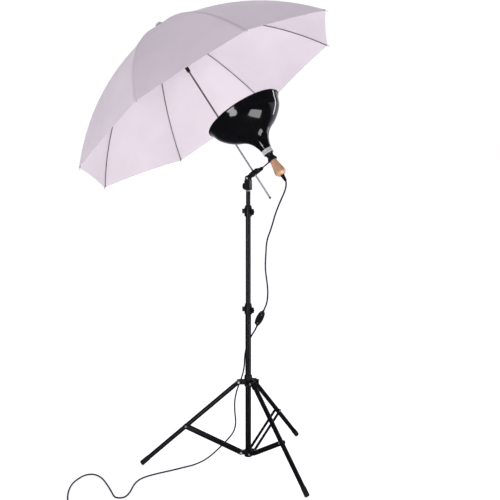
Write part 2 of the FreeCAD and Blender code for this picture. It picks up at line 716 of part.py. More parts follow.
def build_stem():
    """The rod from the bracket head to the band round the lamp's socket."""
    frame, length = stem_frame()
    shaft = rod("stem_radius", f"{length} - socket_radius - 1 + stem_insert", (0, 0, "-stem_insert"))
    low = "nose_front + slide_play"
    collar = turned([("stem_radius - 1", low), ("stem_radius + 2.5", low),
                     ("stem_radius + 2.5", "nose_front + 9"), ("stem_radius + 1.5", "nose_front + 10"),
                     ("stem_radius - 1", "nose_front + 10")])
    band = turned([("socket_radius", "band_back"), ("band_radius - 0.5", "band_back"),
                   ("band_radius", "band_back + 0.5"), ("band_radius", "band_front - 0.5"),
                   ("band_radius - 0.5", "band_front"), ("socket_radius", "band_front")], LAMP)
    publish(fused([placed(shaft, frame), placed(collar, frame), band]), "lamp_stem")


def build_reflector():
    """The spun bowl: one smooth wall with a rolled bead round its mouth."""
    wall = value("bowl_wall")
    bead = value("bead_radius")
    rim = value("rim_radius")
    neck = value("neck_radius")
    depth = -value("neck_front")
    outer = [Vector(rim, 0, -5)]
    outer += [Vector(radius, 0, -distance) for distance, radius in BOWL_PROFILE]
    outer.append(Vector(neck, 0, -depth))
    outer_curve = Part.BSplineCurve()
    outer_curve.interpolate(outer)
    first = outer_curve.FirstParameter
    last = outer_curve.LastParameter
    inner = []
    for step in range(WALL_STEPS + 1):
        parameter = first + (last - first) * step / WALL_STEPS
        tangent = outer_curve.tangent(parameter)[0]
        inward = Vector(tangent.z, 0, -tangent.x)
        inner.append(outer_curve.value(parameter) + inward * wall)
    inner_curve = Part.BSplineCurve()
    inner_curve.interpolate(inner)
    edges = [outer_curve.toShape(), Part.LineSegment(outer[-1], inner[-1]).toShape(),
             inner_curve.toShape(), Part.LineSegment(inner[0], outer[0]).toShape()]
    section = Part.Face(Part.Wire(Part.sortEdges(edges)[0]))
    bowl = section.revolve(ORIGIN, Z_AXIS, 360)
    rolled = Part.makeTorus(rim + bead - wall / 2 - 0.4, bead, Vector(0, 0, -5 + bead / 2))
    shape = doc.addObject("Part::Feature", "Bowl")
    shape.Shape = bowl.fuse(rolled)
    shape.Placement = LAMP
    publish(shape, "reflector")


def build_lamp():
    """The ring, socket, bulb, wooden handle and strain relief behind the reflector."""
    publish(turned([("socket_mouth_radius + 0.3", "neck_back"), ("neck_radius - 0.8", "neck_back"),
                    ("neck_radius", "neck_back + 0.8"), ("neck_radius", "neck_front - 0.8"),
                    ("neck_radius - 0.8", "neck_front"), ("neck_radius - 2", "neck_front"),
                    ("neck_radius - 2", "neck_front + 6"), ("socket_mouth_radius + 0.3", "neck_front + 6")],
                   LAMP), "neck_ring")
    publish(turned([(0, "socket_back"), ("socket_radius - 0.6", "socket_back"),
                    ("socket_radius", "socket_back + 0.6"), ("socket_radius", "socket_taper", 14),
                    ("neck_radius - 0.5", "neck_back"), ("socket_mouth_radius", "neck_back"),
                    ("socket_mouth_radius", "socket_mouth"), ("socket_cavity_radius", "socket_mouth"),
                    ("socket_cavity_radius", "socket_floor"), (0, "socket_floor")], LAMP), "socket_body")
    publish(turned([(0, "socket_floor + 0.5"), ("bulb_base_radius - 5", "socket_floor + 0.5"),
                    ("bulb_base_radius", "socket_floor + 6"), ("bulb_base_radius", "socket_mouth + 2"),
                    ("bulb_base_radius + 2", "socket_mouth + 6", 190),
                    ("bulb_radius * cos(12)", "bulb_front - bulb_radius * (1 + sin(12))", "-bulb_radius"),
                    (0, "bulb_front")], LAMP), "bulb")
    publish(turned([(0, "handle_back"), ("handle_end_radius", "handle_back", -16),
                    ("handle_radius", "handle_wide", -120), ("handle_top_radius", "socket_back - 2"),
                    ("handle_top_radius", "socket_back"), (0, "socket_back")], LAMP), "handle")
    publish(turned([(0, "relief_back"), ("relief_tip_radius", "relief_back"),
                    ("relief_radius - 1", "handle_back - 4"), ("relief_radius", "handle_back - 4"),
                    ("relief_radius", "handle_back"), (0, "handle_back")], LAMP), "strain_relief")


# ---------------------------------------------------------------- umbrella

def hub_slot(inner, low, high):
    """A cutter for one radial slot of a hub."""
    return block((30, "2 * slot_half_width", f"({high}) - ({low})"), (inner, "-slot_half_width", low))


def build_umbrella_hubs():
    """The shaft, the crown that the ribs hinge in and the runner that the stretchers hinge in."""
    publish(turned([(0, "shaft_low"), ("shaft_radius - 1", "shaft_low"), ("shaft_radius", "shaft_low + 1"),
                    ("shaft_radius", "shaft_high"), (0, "shaft_high")], UMBRELLA), "umbrella_shaft")
    hub = turned([("shaft_radius", "crown_bottom"), ("crown_radius - 1", "crown_bottom"),
                  ("crown_radius", "crown_bottom + 1"), ("crown_radius", "crown_top"),
                  ("ferrule_radius", "crown_top"), ("ferrule_radius", "crown_top + 1.5", -14),
                  ("shaft_radius", "ferrule_top"), (0, "ferrule_top"), (0, "shaft_high"),
                  ("shaft_radius", "shaft_high")])
    slots = ringed(lambda: hub_slot("shaft_radius + 1.6", "crown_bottom - 1", "crown_slot_top"),
                   int(value("rib_count")), value("rib_azimuth"))
    publish(less(hub, slots, UMBRELLA), "crown")
    sleeve = turned([("shaft_radius + slide_play", "runner_bottom"),
                     ("runner_barrel_radius - 1", "runner_bottom"),
                     ("runner_barrel_radius", "runner_bottom + 1"),
                     ("runner_barrel_radius", "runner_disc_bottom - 4"),
                     ("runner_disc_radius", "runner_disc_bottom"), ("runner_disc_radius", "runner_disc_top"),
                     ("shaft_radius + slide_play", "runner_disc_top")])
    slots = ringed(lambda: hub_slot("runner_pivot_radius - 3.6", "runner_pivot_height - 3.4",
                                    "runner_disc_top + 1"),
                   int(value("rib_count")), value("rib_azimuth"))
    publish(less(sleeve, slots, UMBRELLA), "runner")


def rib_point(turn, lift=0.0):
    """A point of a rib in its own plane, a turn in degrees past its hinge and a lift outwards."""
    start = math.radians(value("rib_start_slope"))
    slope = start + math.radians(turn)
    radius = value("rib_curve_radius")
    centre = Vector(value("rib_pivot_radius") - radius * math.sin(start), 0,
                    value("rib_pivot_height") - radius * math.cos(start))
    return centre + Vector(math.sin(slope), 0, math.cos(slope)) * (radius + lift)


def build_rib(number):
    """A curved steel rib with its eye, its lug for the stretcher and its rounded tip."""
    slope = math.radians(value("rib_start_slope + rib_tang_turn"))
    outwards = Vector(math.sin(slope), 0, math.cos(slope))
    along = Vector(math.cos(slope), 0, -math.sin(slope))
    wire = doc.addObject("Part::Torus", "RibWire")
    bind(wire, Radius1="rib_curve_radius", Radius2="rib_wire_radius", Angle3="rib_turn - rib_tang_turn")
    wire.Placement = Placement(rib_point(0, -value("rib_curve_radius")),
                               Rotation(outwards, along, Y_AXIS, "XYZ"))
    hinge = rib_point(0)
    eye = rod("rib_eye_radius", "2 * rib_eye_half_width", (hinge.x, "-rib_eye_half_width", hinge.z), Y_AXIS)
    tang = placed(block(("rib_tang_length", "2 * rib_eye_half_width", "2 * rib_wire_radius - 0.6"),
                        (0, "-rib_eye_half_width", "0.3 - rib_wire_radius")),
                  Placement(hinge, Rotation(Y_AXIS, value("rib_start_slope + rib_tang_turn / 2"))))
    lug_at = rib_point(value("rib_lug_turn"), -value("rib_lug_drop"))
    lug = [rod(2.2, "2 * rib_eye_half_width", (lug_at.x, "-rib_eye_half_width", lug_at.z), Y_AXIS),
           rod(0.85, "rib_lug_drop", (lug_at.x, 0, lug_at.z),
               rib_point(value("rib_lug_turn")) - lug_at)]
    end = rib_point(value("rib_turn"))
    tip = ball("rib_tip_radius", (end.x, 0, end.z))
    azimuth = value("rib_azimuth") + 360.0 * number / value("rib_count")
    place = UMBRELLA.multiply(Placement(ORIGIN, Rotation(Z_AXIS, azimuth)))
    publish(fused([wire, eye, tang, tip] + lug, place), f"rib_{number + 1}")


def build_stretcher(number):
    """A straight wire from the runner, forked round the lug of its rib."""
    eye = rod("rib_eye_radius", "2 * rib_eye_half_width", (0, "-rib_eye_half_width", 0), Y_AXIS)
    wire = rod("stretcher_wire_radius", "stretcher_length - fork_length + 2", (0, 0, 0), X_AXIS)
    bridge = block((3, "2 * (fork_half_gap + fork_thick)", 3.6),
                   ("stretcher_length - fork_length", "-fork_half_gap - fork_thick", -1.8))
    tines = []
    for side in ("fork_half_gap", "-fork_half_gap - fork_thick"):
        tines.append(block(("fork_length", "fork_thick", 3.6),
                           ("stretcher_length - fork_length", side, -1.8)))
        tines.append(rod(1.8, "fork_thick", ("stretcher_length", side, 0), Y_AXIS))
    azimuth = value("rib_azimuth") + 360.0 * number / value("rib_count")
    hinge = Vector(value("runner_pivot_radius"), 0, value("runner_pivot_height"))
    place = UMBRELLA.multiply(Placement(ORIGIN, Rotation(Z_AXIS, azimuth)))
    place = place.multiply(Placement(hinge, Rotation(Y_AXIS, -value("stretcher_lift"))))
    publish(fused([eye, wire, bridge] + tines, place), f"stretcher_{number + 1}")


def cloth_section(azimuth):
    """The canopy's closed section in the plane of one rib."""
    low = value("cloth_lift")
    high = low + value("cloth_thick")
    curve = value("rib_curve_radius")
    start = math.degrees(math.asin((value("cloth_hole_radius") - value("rib_pivot_radius")) / curve))
    finish = value("rib_turn") - math.degrees(value("cloth_hem_gap") / curve)
    middle = (start + finish) / 2
    around = Rotation(Z_AXIS, azimuth)

    def at(turn, lift):
        return around.multVec(rib_point(turn, lift))

    edges = [Part.Arc(at(start, high), at(middle, high), at(finish, high)).toShape(),
             Part.LineSegment(at(finish, high), at(finish, low)).toShape(),
             Part.Arc(at(finish, low), at(middle, low), at(start, low)).toShape(),
             Part.LineSegment(at(start, low), at(start, high)).toShape()]
    return Part.Wire(edges)


def build_canopy():
    """The cloth: eight panels, each stretched straight across from rib to rib."""
    count = int(value("rib_count"))
    sections = [cloth_section(value("rib_azimuth") + 360.0 * number / count) for number in range(count)]
    panels = [Part.makeLoft([sections[number], sections[(number + 1) % count]], True, True)
              for number in range(count)]
    canopy = doc.addObject("Part::Feature", "Cloth")
    canopy.Shape = panels[0].fuse(panels[1:]).removeSplitter()
    canopy.Placement = UMBRELLA
    publish(canopy, "canopy")


# ---------------------------------------------------------------- mains lead

def cord(label, points):
    """A round cord along straight runs joined by tangent arcs, as wide as the shorter run allows."""
    route = [Vector(*point) for point in points]
    edges = []
    here = route[0]
    radii = []
    for before, corner, after in zip(route, route[1:], route[2:]):
        into = (corner - before).normalize()
        out = (after - corner).normalize()
        turn = into.getAngle(out)
        setback = 0.45 * min((corner - before).Length, (after - corner).Length)
        radius = setback / math.tan(turn / 2)
        radii.append(round(radius))
        start = corner - into * setback
        finish = corner + out * setback
        to_middle = (out - into).normalize()
        middle = corner + to_middle * (setback / math.sin(turn / 2) * (1 / math.cos(turn / 2) - 1)
                                       * math.cos(turn / 2))
        edges.append(Part.LineSegment(here, start).toShape())
        edges.append(Part.Arc(start, middle, finish).toShape())
        here = finish
    edges.append(Part.LineSegment(here, route[-1]).toShape())
    path = Part.Wire(edges)
    section = Part.Wire(Part.Circle(route[0], route[1] - route[0], value("cord_radius")).toShape())
    solid = path.makePipeShell([section], True, False)
    expected = math.pi * value("cord_radius") ** 2 * path.Length
    print(label, "length", round(path.Length), "radii", radii, "smallest", min(radii),
          "volume ratio", round(solid.Volume / expected, 4))
    tube = doc.addObject("Part::Feature", "Tube")
    tube.Shape = solid
    tube.Placement = Placement()
    return publish(tube, label)


def switch_frame():
    """The switch's frame: X along it, Z out of the face that carries the rocker."""
    along = (SWITCH_LOWER_END - SWITCH_UPPER_END).normalize()
    front = Vector(0, -1, 0)
    front = (front - along * along.dot(front)).normalize()
    middle = (SWITCH_UPPER_END + SWITCH_LOWER_END) / 2
    return Placement(middle, Rotation(along, front.cross(along), front, "XYZ"))


def build_switch():
    """The inline switch's housing, with a nose for the lead at each end, and its rocker."""
    frame = switch_frame()
    shell = block(("switch_length", "switch_width", "switch_thick"),
                  ("-switch_length / 2", "-switch_width / 2", "-switch_thick / 2"))
    rounded = doc.addObject("Part::Fillet", "RoundedSwitch")
    rounded.Base = shell
    rounded.Edges = [(number, 4.0, 4.0) for number in range(1, 13)]
    whole = (SWITCH_LOWER_END - SWITCH_UPPER_END).Length
    nose = turned([(0, -whole / 2), ("switch_nose_radius - 1.5", -whole / 2),
                   ("switch_nose_radius", "-switch_length / 2 + 2"),
                   ("switch_nose_radius", "switch_length / 2 - 2"),
                   ("switch_nose_radius - 1.5", whole / 2), (0, whole / 2)],
                  Placement(ORIGIN, towards(X_AXIS)))
    rise = "switch_thick / 2 - 3.5"
    well = rod("rocker_radius + slide_play", "2 * rocker_half_width + 2 * slide_play",
               (0, "-rocker_half_width - slide_play", rise), Y_AXIS)
    publish(less(fused([rounded, nose]), [well], frame), "switch_body")
    barrel = rod("rocker_radius", "2 * rocker_half_width", (0, "-rocker_half_width", rise), Y_AXIS)
    waste = [placed(block((20, 40, 20), (start, -20, 0)),
                    Placement(Vector(0, 0, value(rise) + 5), Rotation(Y_AXIS, tilt)))
             for start, tilt in ((0, -14), (-20, 14))]
    publish(less(barrel, waste, frame), "switch_rocker")


def build_plug():
    """The flat moulded plug at the end of the lead and its two blades, lying on the coil."""
    body = block(("plug_length", "plug_width", "plug_thick"), (0, "-plug_width / 2", 0))
    rounded = doc.addObject("Part::Fillet", "RoundedPlug")
    rounded.Base = body
    rounded.Edges = [(number, 3.5, 3.5) for number in range(1, 13)]
    tail = turned([(0, -16), ("cord_radius + 1", -16), ("cord_radius + 3", 4), (0, 4)],
                  Placement(Vector(0, 0, value("plug_thick / 2")), towards(X_AXIS)))
    blades = [block(("blade_length + 2", "blade_thick", "blade_width"),
                    ("plug_length - 2", f"{side} * blade_pitch / 2 - blade_thick / 2",
                     "(plug_thick - blade_width) / 2")) for side in (-1, 1)]
    publish(fused([rounded, tail] + blades, PLUG), "plug")


def build_lead():
    """The lead from the lamp to the switch and on to the coil, the coil and the plug."""
    relief_end = LAMP.multVec(Vector(0, 0, value("relief_back - 0.1")))
    cord("lamp_cord", [tuple(relief_end)] + LAMP_CORD_ROUTE + [tuple(SWITCH_UPPER_END)])
    cord("mains_cord", [tuple(SWITCH_LOWER_END)] + MAINS_CORD_ROUTE + [tuple(COIL_ENTRY)])
    coil = turned([("coil_inner_radius + 4", 0), ("coil_outer_radius - 4", 0, -4), ("coil_outer_radius", 4),
                   ("coil_outer_radius", "coil_thick - 4", -4), ("coil_outer_radius - 4", "coil_thick"),
                   ("coil_inner_radius + 4", "coil_thick", -4), ("coil_inner_radius", "coil_thick - 4"),
                   ("coil_inner_radius", 4, -4)], Placement(COIL_CENTRE, Rotation()))
    publish(coil, "cord_coil")


build_column()
build_foot_collar()
build_spreader()
for leg_number in range(LEG_COUNT):
    build_leg(leg_number)
build_bracket_base()
build_bracket_head()
build_stem()
build_reflector()
build_lamp()
build_umbrella_hubs()
for rib_number in range(int(value("rib_count"))):
    build_rib(rib_number)
    build_stretcher(rib_number)
build_canopy()
build_switch()
build_lead()
build_plug()
doc.recompute()

# ---------------------------------------------------------------- checks and export

for thing in doc.Objects:
    if "Invalid" in thing.State or "Error" in thing.State:
        raise RuntimeError(f"{thing.Name} ({thing.Label}) failed: {thing.State}")
os.makedirs("parts", exist_ok=True)
for label, thing in subparts.items():
    if thing.Shape.isNull() or not thing.Shape.isValid():
        raise RuntimeError(f"{label} has no valid shape")
    thing.Shape.exportStep(f"parts/{label}.step")
print(len(subparts), "sub-parts written")
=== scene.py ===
"""Looks of an umbrella studio light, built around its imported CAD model.

Lengths are metres in the CAD model's frame: Z is up, the floor is Z = 0 and the stand's column is the Z axis.
"""

import json
import math

import bmesh
import bpy
import numpy as np
from mathutils import Matrix, Vector


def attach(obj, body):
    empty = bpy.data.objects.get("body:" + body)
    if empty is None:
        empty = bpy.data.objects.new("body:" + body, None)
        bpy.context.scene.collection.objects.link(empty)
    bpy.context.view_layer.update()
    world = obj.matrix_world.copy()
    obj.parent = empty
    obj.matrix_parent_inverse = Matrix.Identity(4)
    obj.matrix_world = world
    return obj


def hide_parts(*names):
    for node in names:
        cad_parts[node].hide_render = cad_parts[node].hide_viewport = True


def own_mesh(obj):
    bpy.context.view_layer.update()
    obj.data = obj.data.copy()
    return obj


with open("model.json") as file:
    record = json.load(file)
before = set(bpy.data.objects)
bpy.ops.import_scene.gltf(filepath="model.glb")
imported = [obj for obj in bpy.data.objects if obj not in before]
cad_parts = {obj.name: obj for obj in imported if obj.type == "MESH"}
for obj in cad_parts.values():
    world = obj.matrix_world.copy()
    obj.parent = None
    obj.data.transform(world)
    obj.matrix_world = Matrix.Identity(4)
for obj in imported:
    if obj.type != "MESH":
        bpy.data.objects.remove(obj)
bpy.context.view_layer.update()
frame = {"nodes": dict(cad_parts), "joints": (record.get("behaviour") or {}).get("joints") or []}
joints = {joint["name"]: joint for joint in frame["joints"]}

LEG_COUNT = 3
RIB_COUNT = 8


# ---------------------------------------------------------------- camera

CAMERA_PLACE = (0.0077, -4.7878, 1.6657)
CAMERA_TILT_DEGREES = 8.414
CAMERA_LENS_MM = 81.18


def aim_camera():
    """A long lens at chest height, in front of the stand and tipped a little down."""
    data = bpy.data.cameras.new("Camera")
    data.lens = CAMERA_LENS_MM
    data.sensor_width = 36
    data.clip_end = 200
    camera = bpy.data.objects.new("Camera", data)
    camera.location = CAMERA_PLACE
    camera.rotation_euler = (math.radians(90 - CAMERA_TILT_DEGREES), 0, 0)
    bpy.context.scene.collection.objects.link(camera)
    bpy.context.scene.camera = camera


aim_camera()


# ---------------------------------------------------------------- places read from the frame

def joint_place(name):
    """Where a joint's axis is, and its direction."""
    joint = joints[name]
    return Vector(joint.get("pos_m", (0, 0, 0))), Vector(joint["axis"]).normalized()


def corners_of(node):
    """A CAD node's vertices at rest."""
    return np.array([vertex.co for vertex in frame["nodes"][node].data.vertices], float)


def centre_of(node):
    """The middle of a CAD node's surface, which lies on the axis of a turned piece."""
    mesh = frame["nodes"][node].data
    total = sum(face.area for face in mesh.polygons)
    middle = Vector()
    for face in mesh.polygons:
        middle += face.center * (face.area / total)
    return middle


def frame_along(origin, direction, side):
    """A frame at a point with Z along a direction and X turned towards a side."""
    along = direction.normalized()
    across = (side - along * side.dot(along)).normalized()
    turn = Matrix((across, along.cross(across), along)).transposed()
    return Matrix.Translation(origin) @ turn.to_4x4()


def stations(node, place):
    """The lowest and highest point of a CAD node along a frame's Z axis, and its largest radius."""
    local = corners_of(node) @ np.array(place.to_3x3())
    origin = np.array(place.to_3x3().transposed() @ place.translation)
    local = local - origin
    return local[:, 2].min(), local[:, 2].max(), float(np.hypot(local[:, 0], local[:, 1]).max())


lamp_axis = centre_of("reflector") - centre_of("strain_relief")
LAMP = frame_along(centre_of("strain_relief"), lamp_axis, Vector((1, 0, 0)))
rim_station = stations("reflector", LAMP)[1]
LAMP = LAMP @ Matrix.Translation((0, 0, rim_station))

shaft_direction = joint_place("umbrella_slide")[1]
UMBRELLA = frame_along(centre_of("umbrella_shaft"), shaft_direction, joint_place("rib_1_fold")[0]
                       - centre_of("umbrella_shaft"))


# ---------------------------------------------------------------- materials

class Nodes:
    """A tree of shader nodes. Each add() makes a node, and gives its first output or the one named."""

    def __init__(self, tree):
        self.tree = tree

    def set(self, node, inputs):
        """Join each named input to an output, or give it a plain value."""
        for socket, value in inputs.items():
            if isinstance(value, bpy.types.NodeSocket):
                self.tree.links.new(value, node.inputs[socket])
            else:
                node.inputs[socket].default_value = value

    def add(self, kind, inputs=None, give=0, **settings):
        node = self.tree.nodes.new("ShaderNode" + kind)
        for name, value in settings.items():
            setattr(node, name, value)
        self.set(node, inputs or {})
        return node.outputs[give]

    def part(self, vector, axis):
        """One coordinate of a vector."""
        return self.add("SeparateXYZ", {"Vector": vector}, give=axis)

    def points(self, stretch=(1, 1, 1), turn=(0, 0, 0)):
        """Positions in the piece's own frame, scaled along its axes."""
        place = self.add("TexCoord", give="Object")
        return self.add("Mapping", {"Vector": place, "Scale": stretch, "Rotation": turn})

    def noise(self, points, scale, detail=3.0):
        return self.add("TexNoise", {"Vector": points, "Scale": scale, "Detail": detail})

    def ramp(self, value, *stops):
        """Colours at positions along a ramp."""
        result = self.add("ValToRGB", {"Fac": value})
        elements = result.node.color_ramp.elements
        while len(elements) < len(stops):
            elements.new(0.5)
        for element, (position, colour) in zip(elements, stops):
            element.position = position
            element.color = (*colour, 1)
        return result

    def between(self, value, low, high, start=0.0, end=1.0):
        """A number that goes from low to high as value goes from start to end."""
        return self.add("MapRange", {"Value": value, "From Min": start, "From Max": end,
                                     "To Min": low, "To Max": high})

    def sums(self, operation, *values):
        """A calculation with one number or more."""
        return self.add("Math", dict(enumerate(values)), operation=operation)

    def bump(self, height, strength, distance, normal=None):
        inputs = {"Height": height, "Strength": strength, "Distance": distance}
        if normal:
            inputs["Normal"] = normal
        return self.add("Bump", inputs)


class Finish(Nodes):
    """A node material, with its main shader."""

    def __init__(self, name):
        self.material = bpy.data.materials.new(name)
        self.material.use_nodes = True
        super().__init__(self.material.node_tree)
        self.shader = self.tree.nodes["Principled BSDF"]
        self.output = self.tree.nodes["Material Output"]


def scaled(colour, factor):
    """A colour made lighter or darker."""
    return tuple(min(1.0, part * factor) for part in colour)


def moulded(name, colour, roughness, metallic=0.0, tint=0.25, grain=1500.0, strength=0.25,
            depth=0.00015, shine=0.5):
    """A painted, moulded or plated surface: cloudy colour and gloss, and a fine grain in its normal."""
    finish = Finish(name)
    points = finish.points()
    clouds = finish.noise(points, 30.0, 5.0)
    colours = finish.ramp(clouds, (0.3, scaled(colour, 1 - tint)), (0.7, scaled(colour, 1 + tint)))
    gloss = finish.between(clouds, roughness - 0.07, roughness + 0.07, 0.3, 0.7)
    normal = finish.bump(finish.noise(points, grain), strength, depth)
    finish.set(finish.shader, {"Base Color": colours, "Roughness": gloss, "Metallic": metallic,
                               "Specular IOR Level": shine, "Normal": normal})
    return finish.material


def scratched(name, colour, bare, roughness, shine):
    """Black enamel on a sliding tube: long fine rubs along the tube where it shows greyer."""
    finish = Finish(name)
    rubs = finish.noise(finish.points((1, 1, 0.02)), 420.0, 2.0)
    clouds = finish.noise(finish.points(), 14.0, 4.0)
    worn = finish.sums("MULTIPLY", finish.between(rubs, 0.0, 1.0, 0.58, 0.74), clouds)
    colours = finish.ramp(worn, (0.0, colour), (0.5, bare))
    gloss = finish.between(clouds, roughness - 0.06, roughness + 0.08, 0.3, 0.7)
    grain = finish.bump(finish.noise(finish.points(), 1400.0), 0.12, 0.0001)
    normal = finish.bump(rubs, 0.08, 0.0001, grain)
    finish.set(finish.shader, {"Base Color": colours, "Roughness": gloss, "Metallic": 0.0,
                               "Specular IOR Level": shine, "Normal": normal})
    return finish.material


def umbrella_shaft_steel(name):
    """Plated tube with painted light and shade: its colour is pale low down, where it shows against the
    floor, and dark higher up, as painted shade inside the canopy.
    """
    finish = Finish(name)
    rubs = finish.noise(finish.points((1, 1, 0.02)), 420.0, 2.0)
    height = finish.part(finish.add("TexCoord", give="Object"), "Z")
    # Painted light and shade: the colour is pale below the canopy and dark inside it, set by height along the
    # shaft; the rubs add real wear.
    pale = finish.between(height, 1.0, 0.0, *SHAFT_PAINTED_SHADE_HEIGHTS)
    painted_light_and_rubs = finish.sums("ADD", pale, finish.between(rubs, -0.12, 0.12))
    colours = finish.ramp(painted_light_and_rubs, (0.0, (0.12, 0.112, 0.118)), (1.0, (0.36, 0.36, 0.36)))
    grain = finish.bump(rubs, 0.1, 0.0001)
    finish.set(finish.shader, {"Base Color": colours, "Roughness": finish.between(rubs, 0.25, 0.4),
                               "Metallic": 0.35, "Normal": grain})
    return finish.material


def lathe_turned(name, colour, roughness, metallic, coat=0.0, pitch=0.0009, strength=0.12, shine=0.5):
    """A spun or turned surface: fine rings round the piece's own Z axis."""
    finish = Finish(name)
    place = finish.points()
    rings = finish.add("TexWave", {"Vector": place, "Scale": 0.314 / pitch / 2, "Distortion": 0.3,
                                   "Detail": 2.0}, wave_type="BANDS", bands_direction="Z")
    clouds = finish.noise(place, 22.0, 4.0)
    colours = finish.ramp(clouds, (0.3, scaled(colour, 0.85)), (0.7, scaled(colour, 1.12)))
    gloss = finish.between(clouds, roughness - 0.03, roughness + 0.05, 0.3, 0.7)
    normal = finish.bump(rings, strength, 0.0001)
    finish.set(finish.shader, {"Base Color": colours, "Roughness": gloss, "Metallic": metallic,
                               "Specular IOR Level": shine, "Coat Weight": coat,
                               "Coat Roughness": 0.04, "Normal": normal})
    return finish.material


def varnished_wood(name):
    """Pale turned wood under varnish: grain that runs along the handle."""
    finish = Finish(name)
    wander = finish.noise(finish.points((1, 1, 0.12)), 55.0, 4.0)
    drift = finish.points((1, 0.6, 0.07), (0.05, 0.08, 0.4))
    rings = finish.add("TexWave", {"Vector": drift, "Scale": 60.0, "Distortion": 6.0, "Detail": 3.0,
                                   "Detail Scale": 1.5}, wave_type="BANDS", bands_direction="X")
    mixed = finish.sums("ADD", finish.sums("MULTIPLY", rings, 0.55), finish.sums("MULTIPLY", wander, 0.5))
    colours = finish.ramp(mixed, (0.15, (0.31, 0.165, 0.085)), (0.5, (0.40, 0.225, 0.125)),
                          (0.85, (0.49, 0.30, 0.18)))
    pores = finish.noise(finish.points((1, 1, 0.04)), 900.0, 2.0)
    normal = finish.bump(pores, 0.15, 0.0001)
    finish.set(finish.shader, {"Base Color": colours, "Roughness": finish.between(wander, 0.3, 0.42),
                               "Coat Weight": 0.6, "Coat Roughness": 0.12, "Normal": normal})
    return finish.material


def nylon(name):
    """Thin white umbrella cloth: plain weave, sewn seams and light that comes through from behind.

    The map's U runs across a petal from its rib and V along it, both in metres; V ends at the hem.
    """
    finish = Finish(name)
    place = finish.add("UVMap", uv_map="Cloth")
    clouds = finish.noise(finish.points(), 5.0, 3.0)
    across = finish.part(place, "X")
    along = finish.part(place, "Y")
    warp = finish.add("TexWave", {"Vector": place, "Scale": 900.0}, bands_direction="X")
    weft = finish.add("TexWave", {"Vector": place, "Scale": 900.0}, bands_direction="Y")
    weave = finish.sums("MULTIPLY", warp, weft)
    pull = finish.add("Mapping", {"Vector": place, "Scale": (14, 2.2, 1)})
    creases = finish.noise(pull, 1.0, 2.0)
    seam_dash, hem_dash = [
        finish.sums("GREATER_THAN", finish.sums("SINE", finish.sums("MULTIPLY", way, 2400.0)), -0.3)
        for way in (along, across)]
    beside = finish.sums("COMPARE", finish.sums("ABSOLUTE", across), SEAM_STITCH, 0.00045)
    in_hem = finish.sums("COMPARE", along, HEM_STITCH, 0.0005)
    stitches = finish.sums("ADD", finish.sums("MULTIPLY", seam_dash, beside),
                           finish.sums("MULTIPLY", hem_dash, in_hem))
    colours = finish.ramp(clouds, (0.3, (0.575, 0.522, 0.558)), (0.7, (0.62, 0.565, 0.603)))
    normal = finish.bump(creases, 0.35, 0.006)
    normal = finish.bump(stitches, 0.5, 0.0003, normal)
    normal = finish.bump(weave, 0.12, 0.0002, normal)
    finish.set(finish.shader, {"Base Color": colours, "Roughness": finish.between(clouds, 0.5, 0.6),
                               "Sheen Weight": 0.25, "Normal": normal})
    through = finish.add("BsdfTranslucent", {"Color": colours, "Normal": normal})
    mixed = finish.add("MixShader", {0: 0.26, 1: finish.shader.outputs[0], 2: through})
    finish.set(finish.output, {"Surface": mixed})
    return finish.material


def opal_glass(name):
    """The bulb's white inner coating seen through clear glass."""
    finish = Finish(name)
    clouds = finish.noise(finish.points(), 60.0, 4.0)
    colours = finish.ramp(clouds, (0.3, (0.80, 0.80, 0.78)), (0.7, (0.87, 0.87, 0.85)))
    finish.set(finish.shader, {"Base Color": colours, "Roughness": finish.between(clouds, 0.35, 0.5),
                               "Coat Weight": 1.0, "Coat Roughness": 0.03,
                               "Normal": finish.bump(clouds, 0.05, 0.0003)})
    return finish.material


# How far a seam's stitches are from its middle, and the hem's from the crown, along the cloth.
SEAM_STITCH = 0.0032
HEM_STITCH = 0.762
# Heights between which the umbrella shaft's colour turns from painted light low down to painted shade inside
# the canopy.
SHAFT_PAINTED_SHADE_HEIGHTS = (1.40, 1.55)

MATERIALS = {
    "black_tube": scratched("black_tube", (0.003, 0.003, 0.0035), (0.016, 0.016, 0.017), 0.3, 0.22),
    "black_plastic": moulded("black_plastic", (0.005, 0.005, 0.0055), 0.42, grain=2200.0, shine=0.25),
    "pin_steel": moulded("pin_steel", (0.62, 0.62, 0.63), 0.3, metallic=0.7, tint=0.12),
    "rubber": moulded("rubber", (0.008, 0.008, 0.0085), 0.72, grain=900.0, strength=0.45, shine=0.2),
    "bright_steel": lathe_turned("bright_steel", (0.60, 0.60, 0.61), 0.3, 0.4, pitch=0.0007,
                                 strength=0.06),
    "dull_steel": moulded("dull_steel", (0.20, 0.20, 0.21), 0.35, metallic=0.4, tint=0.12),
    "bracket_metal": moulded("bracket_metal", (0.006, 0.006, 0.007), 0.4, metallic=0.15, grain=700.0,
                             strength=0.4, depth=0.0003, shine=0.3),
    "bowl_paint": lathe_turned("bowl_paint", (0.002, 0.002, 0.0025), 0.07, 0.0, pitch=0.0016,
                               strength=0.03),
    "bowl_enamel": lathe_turned("bowl_enamel", (0.80, 0.80, 0.78), 0.3, 0.0, coat=0.5, pitch=0.0016),
    "socket_black": moulded("socket_black", (0.006, 0.006, 0.006), 0.25, grain=1200.0, shine=0.4),
    "bulb_glass": opal_glass("bulb_glass"),
    "handle_wood": varnished_wood("handle_wood"),
    "cord_rubber": moulded("cord_rubber", (0.004, 0.004, 0.0045), 0.5, grain=1800.0, strength=0.35,
                           shine=0.3),
    "umbrella_steel": moulded("umbrella_steel", (0.085, 0.07, 0.08), 0.34, metallic=0.3, tint=0.15),
    "tip_white": moulded("tip_white", (0.70, 0.66, 0.70), 0.5, tint=0.06),
    "shaft_steel": umbrella_shaft_steel("shaft_steel"),
    "canopy_cloth": nylon("canopy_cloth"),
    "brass": moulded("brass", (0.72, 0.55, 0.26), 0.25, metallic=0.8, tint=0.1),
    "thread": moulded("thread", (0.66, 0.62, 0.66), 0.8, grain=2500.0, strength=0.6),
}

